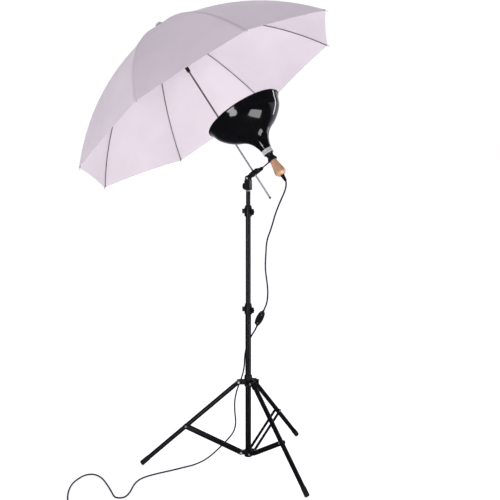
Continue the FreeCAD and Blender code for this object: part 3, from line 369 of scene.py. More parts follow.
NODE_FINISH = {
    "black_tube": ["base_tube", "middle_tube", "top_tube"],
    "black_plastic": ["lower_lock_collar", "upper_lock_collar", "lower_lock_knob", "upper_lock_knob",
                      "brace_collar", "spreader_collar", "spreader_knob", "bracket_base_knob",
                      "umbrella_knob", "runner"],
    "pin_steel": ["brace_pins", "spreader_pins", "tilt_knob"],
    "bright_steel": ["neck_ring"],
    "dull_steel": ["spigot"],
    "bracket_metal": ["bracket_base", "bracket_head", "lamp_stem"],
    "socket_black": ["socket_body"],
    "bulb_glass": ["bulb"],
    "cord_rubber": ["strain_relief", "switch_rocker"],
    "shaft_steel": ["umbrella_shaft"],
    "tip_white": ["crown"],
}


def dress_nodes():
    """Give every CAD node that shows its material."""
    plan = {node: MATERIALS[slot] for slot, nodes in NODE_FINISH.items() for node in nodes}
    for number in range(1, LEG_COUNT + 1):
        plan[f"leg_tube_{number}"] = MATERIALS["black_tube"]
        plan[f"foot_{number}"] = MATERIALS["rubber"]
    for number in range(1, RIB_COUNT + 1):
        plan[f"rib_{number}"] = MATERIALS["umbrella_steel"]
        plan[f"stretcher_{number}"] = MATERIALS["umbrella_steel"]
    for name, node in frame["nodes"].items():
        if name in plan:
            for slot in node.material_slots:
                slot.material = plan[name]


dress_nodes()


# ---------------------------------------------------------------- making pieces

def piece(name, mesh, body, material, place=Matrix()):
    """An object in the scene that rides on a body."""
    thing = bpy.data.objects.new(name, mesh)
    bpy.context.scene.collection.objects.link(thing)
    thing.matrix_world = place
    mesh.materials.append(MATERIALS[material])
    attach(thing, body)
    return thing


def as_mesh(name, shape):
    """A mesh with a bmesh's geometry. The bmesh is used up."""
    data = bpy.data.meshes.new(name)
    shape.to_mesh(data)
    shape.free()
    return data


def smooth(mesh, angle=35.0):
    """Smooth shading that keeps edges sharper than an angle."""
    mesh.polygons.foreach_set("use_smooth", [True] * len(mesh.polygons))
    mesh.set_sharp_from_angle(angle=math.radians(angle))
    return mesh


def through_points(points, steps):
    """A smooth line through a few points, as a Catmull-Rom curve."""
    line = []
    ends = [points[0]] + list(points) + [points[-1]]
    for before, start, finish, after in zip(ends, ends[1:], ends[2:], ends[3:]):
        for step in range(steps):
            t = step / steps
            line.append(tuple(
                0.5 * (2 * b + (c - a) * t + (2 * a - 5 * b + 4 * c - d) * t ** 2
                       + (3 * b - a - 3 * c + d) * t ** 3)
                for a, b, c, d in zip(before, start, finish, after)))
    line.append(tuple(points[-1]))
    return line


def lathe(name, outline, closed=False, segments=96, angle=35.0):
    """A mesh turned about the Z axis from (radius, height) points that run upwards on the outside."""
    mesh = bmesh.new()
    rings = []
    for radius, height in outline:
        if radius < 1e-6:
            rings.append([mesh.verts.new((0, 0, height))])
            continue
        rings.append([mesh.verts.new((radius * math.cos(2 * math.pi * turn / segments),
                                      radius * math.sin(2 * math.pi * turn / segments), height))
                      for turn in range(segments)])
    pairs = list(zip(rings, rings[1:]))
    if closed:
        pairs.append((rings[-1], rings[0]))
    for lower, upper in pairs:
        for turn in range(segments):
            after = (turn + 1) % segments
            if len(lower) == 1:
                corners = (lower[0], upper[after], upper[turn])
            elif len(upper) == 1:
                corners = (lower[turn], lower[after], upper[0])
            else:
                corners = (lower[turn], lower[after], upper[after], upper[turn])
            mesh.faces.new(corners)
    bmesh.ops.recalc_face_normals(mesh, faces=mesh.faces)
    return smooth(as_mesh(name, mesh), angle)


def joined(name, meshes, places):
    """Several meshes, each at its own place, as one mesh."""
    whole = bmesh.new()
    for mesh, place in zip(meshes, places):
        part = bmesh.new()
        part.from_mesh(mesh)
        part.transform(place)
        whole.from_mesh(as_mesh(name + "_part", part))
    return smooth(as_mesh(name, whole))


def dome(radius, height, rim=0.0004, steps=6):
    """The outline of a low round head on a flat base at Z = 0."""
    line = [(0, 0), (radius, 0), (radius, rim)]
    line += [(radius * math.cos(math.radians(90 * step / steps)),
              rim + (height - rim) * math.sin(math.radians(90 * step / steps)))
             for step in range(1, steps)]
    return line + [(0, height)]


# ---------------------------------------------------------------- mains lead

CORD_DIAMETER = 0.0065
COIL_CENTRE = Vector((-0.706, -0.622, 0))
COIL_INNER_RADIUS = 0.0294
COIL_PITCH = 0.0066
COIL_POINTS = 16
COIL_START_DEGREES = 8.0
# Shares of a turn: where it climbs to the next layer, where it steps aside, and how long each takes.
COIL_CLIMB = 0.6
COIL_SIDESTEP = 0.8
COIL_SHIFT = 0.2
# The column, from the inside, and the layer, from the floor, that each turn lies in.
COIL_TURNS = [(2, 0), (1, 0), (0, 0), (0, 1), (1, 1), (2, 1), (1, 2), (0, 2)]
# The last turn stops half way round, where the cord rises to the plug.
COIL_LAST_STEPS = 8

# The spline's control points, from the lamp to the switch and from the switch to the coil.
LAMP_CORD_ROUTE = [
    (0.1556, -0.2235, 1.2606), (0.150, -0.227, 1.234), (0.134, -0.208, 1.195), (0.113, -0.185, 1.140),
    (0.095, -0.160, 1.069), (0.077, -0.145, 1.020), (0.074, -0.130, 0.962), (0.071, -0.115, 0.895),
    (0.081, -0.100, 0.827), (0.084, -0.082, 0.776), (0.078, -0.0634, 0.7288), (0.066, -0.050, 0.703),
]
MAINS_CORD_ROUTE = [
    (0.038, -0.021, 0.630), (0.030, -0.012, 0.609), (0.018, 0.010, 0.586), (0.004, 0.023, 0.558),
    (-0.009, 0.025, 0.524), (-0.016, 0.023, 0.482), (-0.017, 0.025, 0.436), (-0.028, 0.028, 0.388),
    (-0.047, 0.032, 0.340), (-0.060, 0.033, 0.288), (-0.060, 0.032, 0.234), (-0.054, 0.031, 0.182),
    (-0.063, 0.031, 0.139), (-0.097, 0.028, 0.099), (-0.139, 0.014, 0.060), (-0.182, -0.001, 0.026),
    (-0.233, -0.011, 0.0036), (-0.281, -0.046, 0.0033), (-0.324, -0.080, 0.0033),
    (-0.364, -0.107, 0.0033), (-0.398, -0.131, 0.0033), (-0.429, -0.157, 0.0033),
    (-0.455, -0.187, 0.0033), (-0.471, -0.226, 0.0033), (-0.480, -0.277, 0.0033),
    (-0.484, -0.336, 0.0033), (-0.492, -0.384, 0.0033), (-0.505, -0.413, 0.0033),
    (-0.535, -0.415, 0.0033), (-0.549, -0.388, 0.0033), (-0.564, -0.338, 0.0033),
    (-0.592, -0.256, 0.0033), (-0.619, -0.188, 0.0033), (-0.646, -0.147, 0.0033),
    (-0.674, -0.131, 0.0033), (-0.702, -0.147, 0.0033), (-0.722, -0.188, 0.0033),
    (-0.736, -0.237, 0.0033), (-0.741, -0.290, 0.0033), (-0.739, -0.359, 0.0033),
    (-0.730, -0.427, 0.0033), (-0.716, -0.489, 0.0033), (-0.692, -0.536, 0.0033),
    (-0.674, -0.568, 0.0033), (-0.665, -0.597, 0.0033),
]
# From the coil's last turn up to the plug that lies on the coil, from the coil's centre.
PLUG_TAIL_ROUTE = [(-0.0257, 0.0097, 0.0195), (-0.0157, 0.0198, 0.0245), (-0.009, 0.0222, 0.0278)]
PLUG_PLACE = Matrix.Translation(COIL_CENTRE + Vector((0.014, 0.022, 0.020)))
PLUG_BODY = (0.034, 0.026, 0.017)
PLUG_SLEEVE = 0.016


def ease(share):
    """A smooth step from 0 to 1."""
    held = min(1.0, max(0.0, share))
    return held * held * (3 - 2 * held)


def coil_points():
    """The coil's turns, clockwise seen from above: each shifts sideways just before it closes."""
    points = []
    grow = 1 / math.cos(math.pi / COIL_POINTS)
    for turn, (column, layer) in enumerate(COIL_TURNS):
        last = turn + 1 == len(COIL_TURNS)
        next_column, next_layer = (column, layer) if last else COIL_TURNS[turn + 1]
        for step in range(COIL_LAST_STEPS + 1 if last else COIL_POINTS):
            share = step / COIL_POINTS
            radius = COIL_INNER_RADIUS + COIL_PITCH * (
                column + (next_column - column) * ease((share - COIL_SIDESTEP) / COIL_SHIFT))
            height = CORD_DIAMETER * (
                0.5 + layer + (next_layer - layer) * ease((share - COIL_CLIMB) / COIL_SHIFT))
            angle = math.radians(COIL_START_DEGREES - 360 * share)
            points.append(COIL_CENTRE + Vector((radius * grow * math.cos(angle),
                                                radius * grow * math.sin(angle), height)))
    return points


def cord_line(name, points):
    """A round cord on one smooth spline whose control points are the route's."""
    curve = bpy.data.curves.new(name, "CURVE")
    curve.dimensions = "3D"
    spline = curve.splines.new("NURBS")
    spline.points.add(len(points) - 1)
    for knot, point in zip(spline.points, points):
        knot.co = (*point, 1)
    spline.order_u = 3
    spline.use_endpoint_u = True
    curve.resolution_u = 8
    curve.bevel_depth = CORD_DIAMETER / 2
    curve.bevel_resolution = 5
    curve.use_fill_caps = True
    curve.materials.append(MATERIALS["cord_rubber"])
    line = bpy.data.objects.new(name, curve)
    bpy.context.scene.collection.objects.link(line)
    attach(line, "stand")
    return line


def rounded_box(name, size, radius, segments):
    """A box from Z = 0 with round edges, its long side along X."""
    mesh = bmesh.new()
    bmesh.ops.create_cube(mesh, size=1.0)
    for vertex in mesh.verts:
        vertex.co = Vector((vertex.co.x * size[0], vertex.co.y * size[1], (vertex.co.z + 0.5) * size[2]))
    bmesh.ops.bevel(mesh, geom=mesh.edges[:], offset=radius, segments=segments, profile=0.5,
                    affect="EDGES")
    return smooth(as_mesh(name, mesh), 40)


relief_tip = LAMP @ Vector((0, 0, stations("strain_relief", LAMP)[0]))
lamp_cord = cord_line("lamp_lead", [relief_tip] + [Vector(point) for point in LAMP_CORD_ROUTE])
tail = [COIL_CENTRE + Vector(point) for point in PLUG_TAIL_ROUTE]
tail_end = PLUG_PLACE @ Vector((-PLUG_SLEEVE, 0, PLUG_BODY[2] / 2))
mains_route = [Vector(point) for point in MAINS_CORD_ROUTE] + coil_points() + tail + [tail_end]
mains_cord = cord_line("mains_lead", mains_route)
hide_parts("lamp_cord")
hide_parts("mains_cord", "cord_coil")


# ---------------------------------------------------------------- plug and switch

def build_plug():
    """The moulded plug with its ribbed sleeve and finger grips, and its two blades."""
    long, wide, thick = PLUG_BODY
    middle = thick / 2
    shell = rounded_box("plug_body", PLUG_BODY, 0.0035, segments=6)
    sleeve = [(0, -PLUG_SLEEVE)]
    for rib in range(5):
        back = -PLUG_SLEEVE + rib * 0.0034
        radius = 0.0044 + rib * 0.0003
        sleeve += [(radius, back), (radius, back + 0.0022), (radius - 0.0007, back + 0.0024),
                   (radius - 0.0007, back + 0.0033)]
    sleeve += [(0.0060, 0.0010), (0.0062, 0.003), (0, 0.003)]
    along = Matrix.Translation((0, 0, middle)) @ Matrix.Rotation(math.radians(90), 4, "Y")
    meshes = [shell, lathe("plug_sleeve", sleeve, segments=48)]
    places = [Matrix.Translation((long / 2, 0, 0)), along]
    grip = rounded_box("plug_grip", (0.0016, 0.0012, 0.010), 0.0005, segments=3)
    for side in (-1, 1):
        for row in range(4):
            meshes.append(grip)
            places.append(Matrix.Translation((0.009 + 0.004 * row, side * wide / 2, middle - 0.005)))
    shell_piece = piece("plug_shell", joined("plug_shell", meshes, places), "stand", "cord_rubber",
                        PLUG_PLACE)
    blade = rounded_box("plug_blade", (0.019, 0.0015, 0.0063), 0.0005, segments=3)
    at_ends = [Matrix.Translation((long + 0.0075, side * 0.00635, middle - 0.00315)) for side in (-1, 1)]
    blades = piece("plug_blades", joined("plug_blades", [blade, blade], at_ends), "stand", "brass",
                   PLUG_PLACE)
    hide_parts("plug")
    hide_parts("plug")
    return [shell_piece, blades]


SWITCH_SIZE = (0.068, 0.031, 0.019)
# From an end to the middle: shares of the switch's length, and of its full width there.
SWITCH_PROFILE = [(0.0, 0.40), (0.012, 0.56), (0.035, 0.68), (0.1, 0.79), (0.25, 0.93), (0.4, 0.99),
                  (0.5, 1.0)]
SWITCH_SIDES = 48
SWITCH_CORNER = 0.6
# Its lower end hangs a little to the left of the cord's first point there.
SWITCH_LEAN = Vector((-0.005, 0, 0))
SWITCH_SCREW_REACH = 0.0215


def switch_ring(share, height):
    """The outline of the switch at a height along it: a rectangle with well rounded corners."""
    ring = []
    for step in range(SWITCH_SIDES):
        angle = 2 * math.pi * step / SWITCH_SIDES
        wide = math.copysign(abs(math.cos(angle)) ** SWITCH_CORNER, math.cos(angle))
        deep = math.copysign(abs(math.sin(angle)) ** SWITCH_CORNER, math.sin(angle))
        flat = min(1.0, 0.35 + 0.65 * share)
        ring.append((height, wide * share * SWITCH_SIZE[1] / 2, deep * flat * SWITCH_SIZE[2] / 2))
    return ring


def build_switch():
    """The inline switch: a barrel-shaped shell, a sleeve round the cord at each end, and its screws."""
    upper = Vector(LAMP_CORD_ROUTE[-1])
    lower = Vector(MAINS_CORD_ROUTE[0]) + SWITCH_LEAN
    along = (upper - lower).normalized()
    face = centre_of("switch_rocker") - centre_of("switch_body")
    place = frame_along((upper + lower) / 2, face - along * face.dot(along), upper - lower)
    shares = SWITCH_PROFILE + [(1 - share, size) for share, size in SWITCH_PROFILE[-2::-1]]
    mesh = bmesh.new()
    rings = [[mesh.verts.new(point) for point in switch_ring(size, (share - 0.5) * SWITCH_SIZE[0])]
             for share, size in shares]
    for before, after in zip(rings, rings[1:]):
        for step in range(SWITCH_SIDES):
            other = (step + 1) % SWITCH_SIDES
            mesh.faces.new((before[step], before[other], after[other], after[step]))
    mesh.faces.new(rings[0])
    mesh.faces.new(rings[-1])
    bmesh.ops.recalc_face_normals(mesh, faces=mesh.faces)
    shell = piece("switch_shell", smooth(as_mesh("switch_shell", mesh), 50), "stand", "socket_black",
                  place)
    middle = place.translation
    sleeves = []
    at_ends = []
    for end in (upper, Vector(MAINS_CORD_ROUTE[0])):
        reach = (end - middle).length
        sleeves.append(lathe("switch_sleeve", [
            (0, 0.028), (0.0062, 0.028), (0.0060, 0.034), (0.0052, 0.0345), (0.0052, 0.0355),
            (0.0056, 0.0360), (0.0053, 0.0385), (0.0047, 0.0390), (0.0047, 0.0400), (0.0048, 0.0405),
            (0.0044, reach + 0.0010), (0, reach + 0.0010)], segments=32))
        at_ends.append(frame_along(middle, end - middle, face))
    cover = piece("switch_sleeves", joined("switch_sleeves", sleeves, at_ends), "stand", "cord_rubber")
    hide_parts("switch_body")
    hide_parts("switch_body")
    screw = lathe("switch_screw", dome(0.0022, 0.0011), segments=32)
    top = SWITCH_SIZE[2] / 2 - 0.0010
    places = [Matrix.Translation((side * SWITCH_SCREW_REACH, 0, top)) for side in (-1, 1)]
    piece("switch_screws", joined("switch_screws", [screw, screw], places), "stand", "dull_steel",
          place)
    return [shell, cover]


plug_pieces = build_plug()
switch_pieces = build_switch()

bpy.context.view_layer.update()


# ---------------------------------------------------------------- canopy

# A rib is an arc: its radius, its slope at the hinge, and how far it turns to its tip.
RIB_CURVE_RADIUS = 1.096
RIB_START_SLOPE = math.radians(12.78)
RIB_TURN = math.radians(40.72)
CLOTH_LIFT = 0.0041
CLOTH_HOLE_RADIUS = 0.0135
HEM_GAP = 0.010
HEM_DIP = 0.007
PANEL_SAG = 0.004


def rib_frame(number):
    """A rib's frame at its hinge: X outwards in the rib's plane, Z along the umbrella's shaft."""
    hinge, tangent = joint_place(f"rib_{(number - 1) % RIB_COUNT + 1}_fold")
    outwards = tangent.cross(shaft_direction)
    on_shaft = hinge - UMBRELLA.translation
    off_shaft = on_shaft - shaft_direction * on_shaft.dot(shaft_direction)
    if outwards.dot(off_shaft) < 0:
        outwards = -outwards
    return frame_along(hinge, shaft_direction, outwards), off_shaft.length


def rib_point(number, turn, lift):
    """A point of a rib's curve: a turn past its hinge, lifted off it outwards."""
    place, _ = rib_frame(number)
    slope = RIB_START_SLOPE + turn
    reach = (RIB_CURVE_RADIUS + lift) * math.sin(slope) - RIB_CURVE_RADIUS * math.sin(RIB_START_SLOPE)
    rise = (RIB_CURVE_RADIUS + lift) * math.cos(slope) - RIB_CURVE_RADIUS * math.cos(RIB_START_SLOPE)
    return place @ Vector((reach, 0, rise))


def panel_point(number, other, share, along):
    """A point of the panel between two ribs.

    share goes from 0 on the rib to 1 on the other rib, and along from 0 at the crown to 1 at the hem. The
    hem curves in between the ribs, and the panel sags a little inwards in its middle.
    """
    bow = 4 * share * (1 - share)
    hole = math.asin((CLOTH_HOLE_RADIUS - rib_frame(number)[1]) / RIB_CURVE_RADIUS)
    hem = RIB_TURN - (HEM_GAP + HEM_DIP * bow) / RIB_CURVE_RADIUS
    turn = hole + (hem - hole) * along
    start = rib_point(number, turn, CLOTH_LIFT)
    finish = rib_point(other, turn, CLOTH_LIFT)
    middle = (start + finish) / 2
    outwards = (middle - UMBRELLA.translation)
    outwards = (outwards - shaft_direction * outwards.dot(shaft_direction)).normalized()
    slope = RIB_START_SLOPE + turn
    inwards = -(outwards * math.sin(slope) + shaft_direction * math.cos(slope))
    return start.lerp(finish, share) + inwards * PANEL_SAG * bow * math.sin(math.pi * min(1.0, along))


def build_petal(number, across=14, along=64):
    """The cloth from one mid-panel line over a rib to the next, so that it can follow that rib."""
    rows = []
    for step in range(-across, across + 1):
        other = number + (1 if step > 0 else -1)
        share = 0.5 * abs(step) / across
        rows.append([panel_point(number, other, share, level / along) for level in range(along + 1)])
    mesh = bmesh.new()
    cloth_map = mesh.loops.layers.uv.new("Cloth")
    grid = [[mesh.verts.new(point) for point in column] for column in rows]
    length = RIB_CURVE_RADIUS * RIB_TURN
    middle = rows[across]
    for column in range(2 * across):
        for level in range(along):
            face = mesh.faces.new((grid[column][level], grid[column + 1][level],
                                   grid[column + 1][level + 1], grid[column][level + 1]))
            for loop, (step, height) in zip(face.loops, ((column, level), (column + 1, level),
                                                         (column + 1, level + 1), (column, level + 1))):
                side = math.copysign(1, step - across)
                wide = (rows[step][height] - middle[height]).length
                loop[cloth_map].uv = (side * wide, length * height / along)
    mesh.normal_update()
    if sum(face.normal.dot(face.calc_center_median() - UMBRELLA.translation) for face in mesh.faces) < 0:
        bmesh.ops.reverse_faces(mesh, faces=mesh.faces)
    area = sum(face.calc_area() for face in mesh.faces)
    data = as_mesh(f"canopy_petal_{number}", mesh)
    data.polygons.foreach_set("use_smooth", [True] * len(data.polygons))
    petal = piece(f"canopy_petal_{number}", data, f"rib_{number}", "canopy_cloth")
    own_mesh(petal)
    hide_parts("canopy")


for rib_number in range(1, RIB_COUNT + 1):
    build_petal(rib_number)


# ---------------------------------------------------------------- lamp

BOWL_WALL = 0.0012
BOWL_BEAD = 0.0022
BOWL_SEGMENTS = 144
# Radius against distance behind the rim's plane.
BOWL_CURVE = [(0.163, 0.005), (0.157, 0.020), (0.146, 0.045), (0.125, 0.070), (0.101, 0.090),
              (0.075, 0.105), (0.055, 0.120), (0.039, 0.140), (0.028, 0.165), (0.0225, 0.186)]
RIM_TOP = 0.0017


def build_bowl():
    """The spun bowl: black outside, white inside, with a rolled bead round its mouth."""
    outer = [(radius, RIM_TOP - distance) for radius, distance in through_points(BOWL_CURVE[::-1], 8)]
    outer = outer[:-1]
    bead_middle = (BOWL_CURVE[0][0] + BOWL_BEAD - BOWL_WALL / 2 - 0.0004,
                   RIM_TOP - BOWL_CURVE[0][1] + BOWL_BEAD / 2)
    bead = [(bead_middle[0] + BOWL_BEAD * math.cos(math.radians(angle)),
             bead_middle[1] + BOWL_BEAD * math.sin(math.radians(angle)))
            for angle in range(-140, 161, 20)]
    inner = []
    for before, (radius, height), after in zip(outer, outer[1:], outer[2:]):
        slope = math.atan2(after[1] - before[1], after[0] - before[0])
        inner.append((radius - BOWL_WALL * math.sin(slope), height + BOWL_WALL * math.cos(slope)))
    inner = [(outer[0][0] - BOWL_WALL, outer[0][1] + 0.0002)] + inner
    outline = outer + bead + inner[::-1]
    data = lathe("reflector_bowl", outline, closed=True, segments=BOWL_SEGMENTS, angle=40)
    bowl = piece("reflector_bowl", data, "lamp", "bowl_paint", LAMP)
    data.materials.append(MATERIALS["bowl_enamel"])
    outside = len(outer) + len(bead) - 1
    data.polygons.foreach_set("material_index", [int(face // BOWL_SEGMENTS >= outside)
                                                 for face in range(len(data.polygons))])
    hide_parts("reflector")


def build_handle():
    """The turned wooden handle, with a groove near each end."""
    back, front, _ = stations("handle", LAMP)
    length = front - back
    outline = [(0, back), (0.0118, back), (0.0138, back + 0.0006), (0.0160, back + 0.0022)]
    outline += through_points([(0.0185, back + 0.0052), (0.0232, back + 0.0115), (0.0238, back + 0.0175),
                               (0.0218, back + 0.030), (0.0185, back + 0.045),
                               (0.0160, back + 0.058), (0.0152, front - 0.0065)], 6)
    outline += [(0.0146, front - 0.0058), (0.0150, front - 0.0050), (0.0150, front - 0.0012),
                (0.0142, front), (0, front)]
    data = lathe("turned_handle", outline, segments=96, angle=50)
    handle = piece("turned_handle", data, "lamp", "handle_wood", LAMP)
    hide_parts("handle")


def build_lamp_details():
    """Screws in the socket, beads on the neck ring and ribs on the cord's sleeve."""
    screw = lathe("screw_head", dome(0.0034, 0.0020), segments=32)
    socket_back = stations("socket_body", LAMP)[0]
    places = []
    for turn in range(4):
        spin = Matrix.Rotation(math.radians(45 + 90 * turn), 4, "Z")
        places.append(spin @ Matrix.Translation((0.0169, 0, socket_back + 0.0068))
                      @ Matrix.Rotation(math.radians(90), 4, "Y"))
    piece("socket_screws", joined("socket_screws", [screw] * len(places), places), "lamp", "bright_steel",
          LAMP)

    back, front, radius = stations("neck_ring", LAMP)
    low = back + 0.0035
    bead = [(radius - 0.0002, low)]
    bead += [(radius + 0.0007 * math.sin(math.radians(angle)),
              low + 0.0011 * (1 - math.cos(math.radians(angle)))) for angle in range(30, 180, 30)]
    bead += [(radius - 0.0002, low + 0.0022), (radius - 0.0012, low + 0.0022), (radius - 0.0012, low)]
    ring = lathe("neck_bead", bead, closed=True, segments=96)
    lift = (front - 0.006 - back) * 0.45
    piece("neck_beads", joined("neck_beads", [ring, ring],
                               [Matrix(), Matrix.Translation((0, 0, lift))]), "lamp", "bright_steel",
          LAMP)

    back, front, radius = stations("strain_relief", LAMP)
    cuffs = []
    for step in range(5):
        share = (step + 1) / 6.5
        middle = back + (front - 0.004 - back) * share
        wide = 0.0050 + (0.0080 - 0.0050) * share
        cuffs.append(lathe("cuff", [(wide - 0.0006, middle - 0.0012), (wide + 0.0006, middle - 0.0008),
                                    (wide + 0.0008, middle), (wide + 0.0007, middle + 0.0008),
                                    (wide - 0.0006, middle + 0.0012)], closed=True, segments=48))
    piece("relief_cuffs", joined("relief_cuffs", cuffs, [Matrix()] * len(cuffs)), "lamp", "cord_rubber",
          LAMP)


build_bowl()
build_handle()
build_lamp_details()


# ---------------------------------------------------------------- umbrella details

TIP_SLEEVE = [(0, -0.0125), (0.00215, -0.0125), (0.00235, -0.0120), (0.00235, -0.003), (0.0029, -0.0018),
              (0.0031, 0.0), (0.0029, 0.0014), (0.0021, 0.0025), (0.0010, 0.0031), (0, 0.0033)]


def build_rib_ends():
    """A cap on each rib's tip, and the sewn tab that ties the hem's corner to it."""
    for number in range(1, RIB_COUNT + 1):
        tip = rib_point(number, RIB_TURN, 0)
        before = rib_point(number, RIB_TURN - 0.01, 0)
        along = (tip - before).normalized()
        place, _ = rib_frame(number)
        tangent = place.to_3x3() @ Vector((0, 1, 0))
        cap_place = frame_along(tip, along, tangent)
        cap = lathe(f"rib_cap_{number}", TIP_SLEEVE, segments=24)
        piece(f"rib_cap_{number}", cap, f"rib_{number}", "tip_white", cap_place)
        outwards = along.cross(tangent)
        if outwards.dot(shaft_direction) < 0:
            outwards = -outwards
        tab = rounded_box(f"hem_tab_{number}", (0.018, 0.0072, 0.0009), 0.0003, segments=2)
        middle = rib_point(number, RIB_TURN - 0.012 / RIB_CURVE_RADIUS, CLOTH_LIFT + 0.0002)
        turn = Matrix((along, outwards.cross(along), outwards)).transposed().to_4x4()
        piece(f"hem_tab_{number}", tab, f"rib_{number}", "thread",
              Matrix.Translation(middle) @ turn)


def build_crown_washer():
    """A cloth washer under the ferrule, over the canopy's hole."""
    high = stations("crown", UMBRELLA)[1]
    under = high - 0.0121
    outline = [(0.0043, under), (0.020, under - 0.0012), (0.0252, under - 0.0030),
               (0.0256, under - 0.0034), (0.0250, under - 0.0037), (0.0140, under - 0.0016),
               (0.0043, under - 0.0008)]
    washer = lathe("crown_washer", outline, closed=True, segments=64)
    piece("crown_washer", washer, "umbrella", "thread", UMBRELLA)


def build_shaft_details():
    """Grip rings on the runner, and a cap on the shaft's open lower end."""
    low, high, _ = stations("runner", UMBRELLA)
    ring = lathe("grip_ring", [(0.0072, -0.0011), (0.0080, -0.0009), (0.0084, 0), (0.0080, 0.0009),
                               (0.0072, 0.0011)], closed=True, segments=48)
    places = [Matrix.Translation((0, 0, low + 0.006 + 0.0045 * step)) for step in range(6)]
    piece("runner_grips", joined("runner_grips", [ring] * 6, places), "runner", "black_plastic",
          UMBRELLA)
    low, _, radius = stations("umbrella_shaft", UMBRELLA)
    cap = lathe("shaft_cap", [(0, low - 0.0018), (radius - 0.0012, low - 0.0018), (radius, low - 0.0008),
                              (radius + 0.0004, low + 0.0004), (radius + 0.0004, low + 0.006),
                              (radius - 0.0001, low + 0.0066)], segments=48)
    piece("shaft_cap", cap, "umbrella", "black_plastic", UMBRELLA)


build_rib_ends()
build_crown_washer()
build_shaft_details()


# ---------------------------------------------------------------- stand details

# Height of a lock collar's top, radius of the tube that slides in it, and the body it is on.
LOCK_BUSHES = [(0.722, 0.011, "stand"), (1.148, 0.0095, "middle")]


def build_lock_bushes():
    """The moulded bush that shows as a lip between each lock collar and the tube that slides in it."""
    for number, (height, tube, body) in enumerate(LOCK_BUSHES, 1):
        outline = [(tube + 0.0003, height + 0.0001), (tube + 0.0030, height + 0.0001),
                   (tube + 0.0030, height + 0.0012), (tube + 0.0022, height + 0.0022),
                   (tube + 0.0008, height + 0.0024), (tube + 0.0003, height + 0.0018)]
        bush = lathe(f"lock_bush_{number}", outline, closed=True, segments=64)
        piece(f"lock_bush_{number}", bush, body, "rubber")


# A brace between its pivots, and its strips: how far they are from its middle, and their section.
BRACE_LENGTH = 0.2699
BRACE_SLOPE = math.radians(26.28)
STRIP_INNER = 0.0116
STRIP_THICK = 0.002
STRIP_HALF_DEPTH = 0.009
STRIP_EDGE = 0.0005
END_STEPS = 14


def strip_outline():
    """A flat strip with round ends, as (across, along) points from its lower pivot to its upper one."""
    turns = [math.pi * step / END_STEPS for step in range(END_STEPS + 1)]
    lower = [(-STRIP_HALF_DEPTH * math.cos(turn), -STRIP_HALF_DEPTH * math.sin(turn)) for turn in turns]
    upper = [(STRIP_HALF_DEPTH * math.cos(turn), BRACE_LENGTH + STRIP_HALF_DEPTH * math.sin(turn))
             for turn in turns]
    return lower + upper


def build_brace(number):
    """A pair of flat strips with eased edges, one on each side of the leg, and the rivet's heads."""
    pivot, across = joint_place(f"brace_{number}_fold")
    outwards = Vector((pivot.x, pivot.y, 0)).normalized()
    along = outwards * math.cos(BRACE_SLOPE) + Vector((0, 0, math.sin(BRACE_SLOPE)))
    place = frame_along(pivot, along, across)
    mesh = bmesh.new()
    for side in (-1, 1):
        faces = []
        for offset in (STRIP_INNER, STRIP_INNER + STRIP_THICK):
            ring = [mesh.verts.new((side * offset, wide, far)) for wide, far in strip_outline()]
            faces.append(mesh.faces.new(ring))
        for step, vertex in enumerate(faces[0].verts[:]):
            other = (step + 1) % len(faces[0].verts)
            mesh.faces.new((vertex, faces[0].verts[other], faces[1].verts[other], faces[1].verts[step]))
    bmesh.ops.recalc_face_normals(mesh, faces=mesh.faces)
    rims = [edge for edge in mesh.edges if edge.calc_face_angle(0) > math.radians(60)]
    bmesh.ops.bevel(mesh, geom=rims, offset=STRIP_EDGE, segments=3, profile=0.5, affect="EDGES")
    name = f"brace_strips_{number}"
    strips = piece(name, smooth(as_mesh(name, mesh), 30), f"brace_{number}", "black_tube",
                   place)
    head = lathe("rivet_head", dome(0.005, 0.0020), segments=32)
    reach = STRIP_INNER + STRIP_THICK - 0.0001
    places = [Matrix.Translation((side * reach, 0, BRACE_LENGTH))
              @ Matrix.Rotation(math.radians(side * 90), 4, "Y") for side in (-1, 1)]
    name = f"brace_rivets_{number}"
    rivets = piece(name, joined(name, [head, head], places), f"brace_{number}", "dull_steel",
                   place)
    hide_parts(f"brace_{number}")
    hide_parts(f"brace_{number}")


build_lock_bushes()
for brace_number in range(1, LEG_COUNT + 1):
    build_brace(brace_number)


# ---------------------------------------------------------------- stage

# Gloss mirrors a dark room in front of the object and a pale sweep behind it. In an all-white room the
# black bowl would turn grey.
SKY_LIGHT = 1.03
# Colours of the sky near the horizon and overhead.
SKY_COLOURS = [(0.15, (1.0, 1.0, 1.0)), (0.8, (0.40, 0.355, 0.47))]
FLOOR_GLOW = 0.52
DARK_ROOM = 0.05
PALE_SWEEP = 0.9


def light(name, place, target, size, power, mirrored=True):
    """A soft rectangular light that faces a point, and that gloss may or may not mirror."""
    data = bpy.data.lights.new(name, "AREA")
    data.shape = "RECTANGLE"
    data.size, data.size_y = size
    data.energy = power
    lamp = bpy.data.objects.new(name, data)
    lamp.location = place
    lamp.visible_glossy = mirrored
    lamp.rotation_euler = (Vector(target) - Vector(place)).to_track_quat("-Z", "Y").to_euler()
    bpy.context.scene.collection.objects.link(lamp)


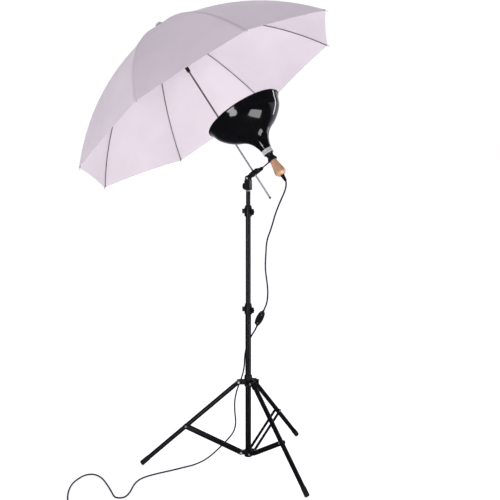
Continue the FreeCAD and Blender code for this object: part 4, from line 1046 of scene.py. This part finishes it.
def build_floor():
    """A plain pale floor, just under the object."""
    mesh = bmesh.new()
    bmesh.ops.create_circle(mesh, cap_ends=True, segments=96, radius=60)
    data = as_mesh("floor", mesh)
    finish = Finish("floor")
    clouds = finish.noise(finish.points(), 1.5, 4.0)
    finish.set(finish.shader, {"Base Color": finish.ramp(clouds, (0.3, (0.955, 0.955, 0.955)),
                                                         (0.7, (0.965, 0.965, 0.965))),
                               "Roughness": 0.95, "Specular IOR Level": 0.1,
                               "Emission Color": (1, 1, 1, 1), "Emission Strength": FLOOR_GLOW})
    depth = finish.part(finish.add("TexCoord", give="Object"), "Y")
    mirrored = finish.add("BsdfDiffuse", {"Color": finish.between(depth, DARK_ROOM, PALE_SWEEP, 1.5, 4.0)})
    seen_in_gloss = finish.add("LightPath", give="Is Glossy Ray")
    mixed = finish.add("MixShader", {0: seen_in_gloss, 1: finish.shader.outputs[0], 2: mirrored})
    finish.set(finish.output, {"Surface": mixed})
    data.materials.append(finish.material)
    floor = bpy.data.objects.new("floor", data)
    floor.location.z = -0.0005
    bpy.context.scene.collection.objects.link(floor)


def build_sky():
    """A white sky, dim and cool overhead."""
    world = bpy.data.worlds.new("sky")
    world.use_nodes = True
    sky = Nodes(world.node_tree)
    direction = sky.add("TexCoord", give="Generated")
    overhead = sky.ramp(sky.part(direction, "Z"), *SKY_COLOURS)
    in_gloss = sky.between(sky.part(direction, "Y"), DARK_ROOM, PALE_SWEEP, 0.7, 0.95)
    strength = sky.between(sky.add("LightPath", give="Is Glossy Ray"), SKY_LIGHT, in_gloss)
    sky.set(sky.tree.nodes["Background"], {"Color": overhead, "Strength": strength})
    bpy.context.scene.world = world


build_floor()
build_sky()
light("key", (-1.15, -3.5, 0.45), (-0.2, 0, 1.6), (1.3, 1.3), 48)
light("bounce", (1.5, -2.2, 0.5), (-0.4, 0.1, 1.6), (0.8, 0.8), 21, mirrored=False)
light("fill", (1.95, -1.45, 0.32), (0.03, -0.24, 1.54), (1.6, 0.9), 26)
light("edge", (2.3, 1.65, 1.65), (0.1, -0.17, 1.56), (0.2, 1.8), 9)
light("top", (0.6, 1.8, 3.6), (0, 0, 1.2), (2.0, 2.0), 8)
bpy.context.scene.view_settings.view_transform = "Standard"
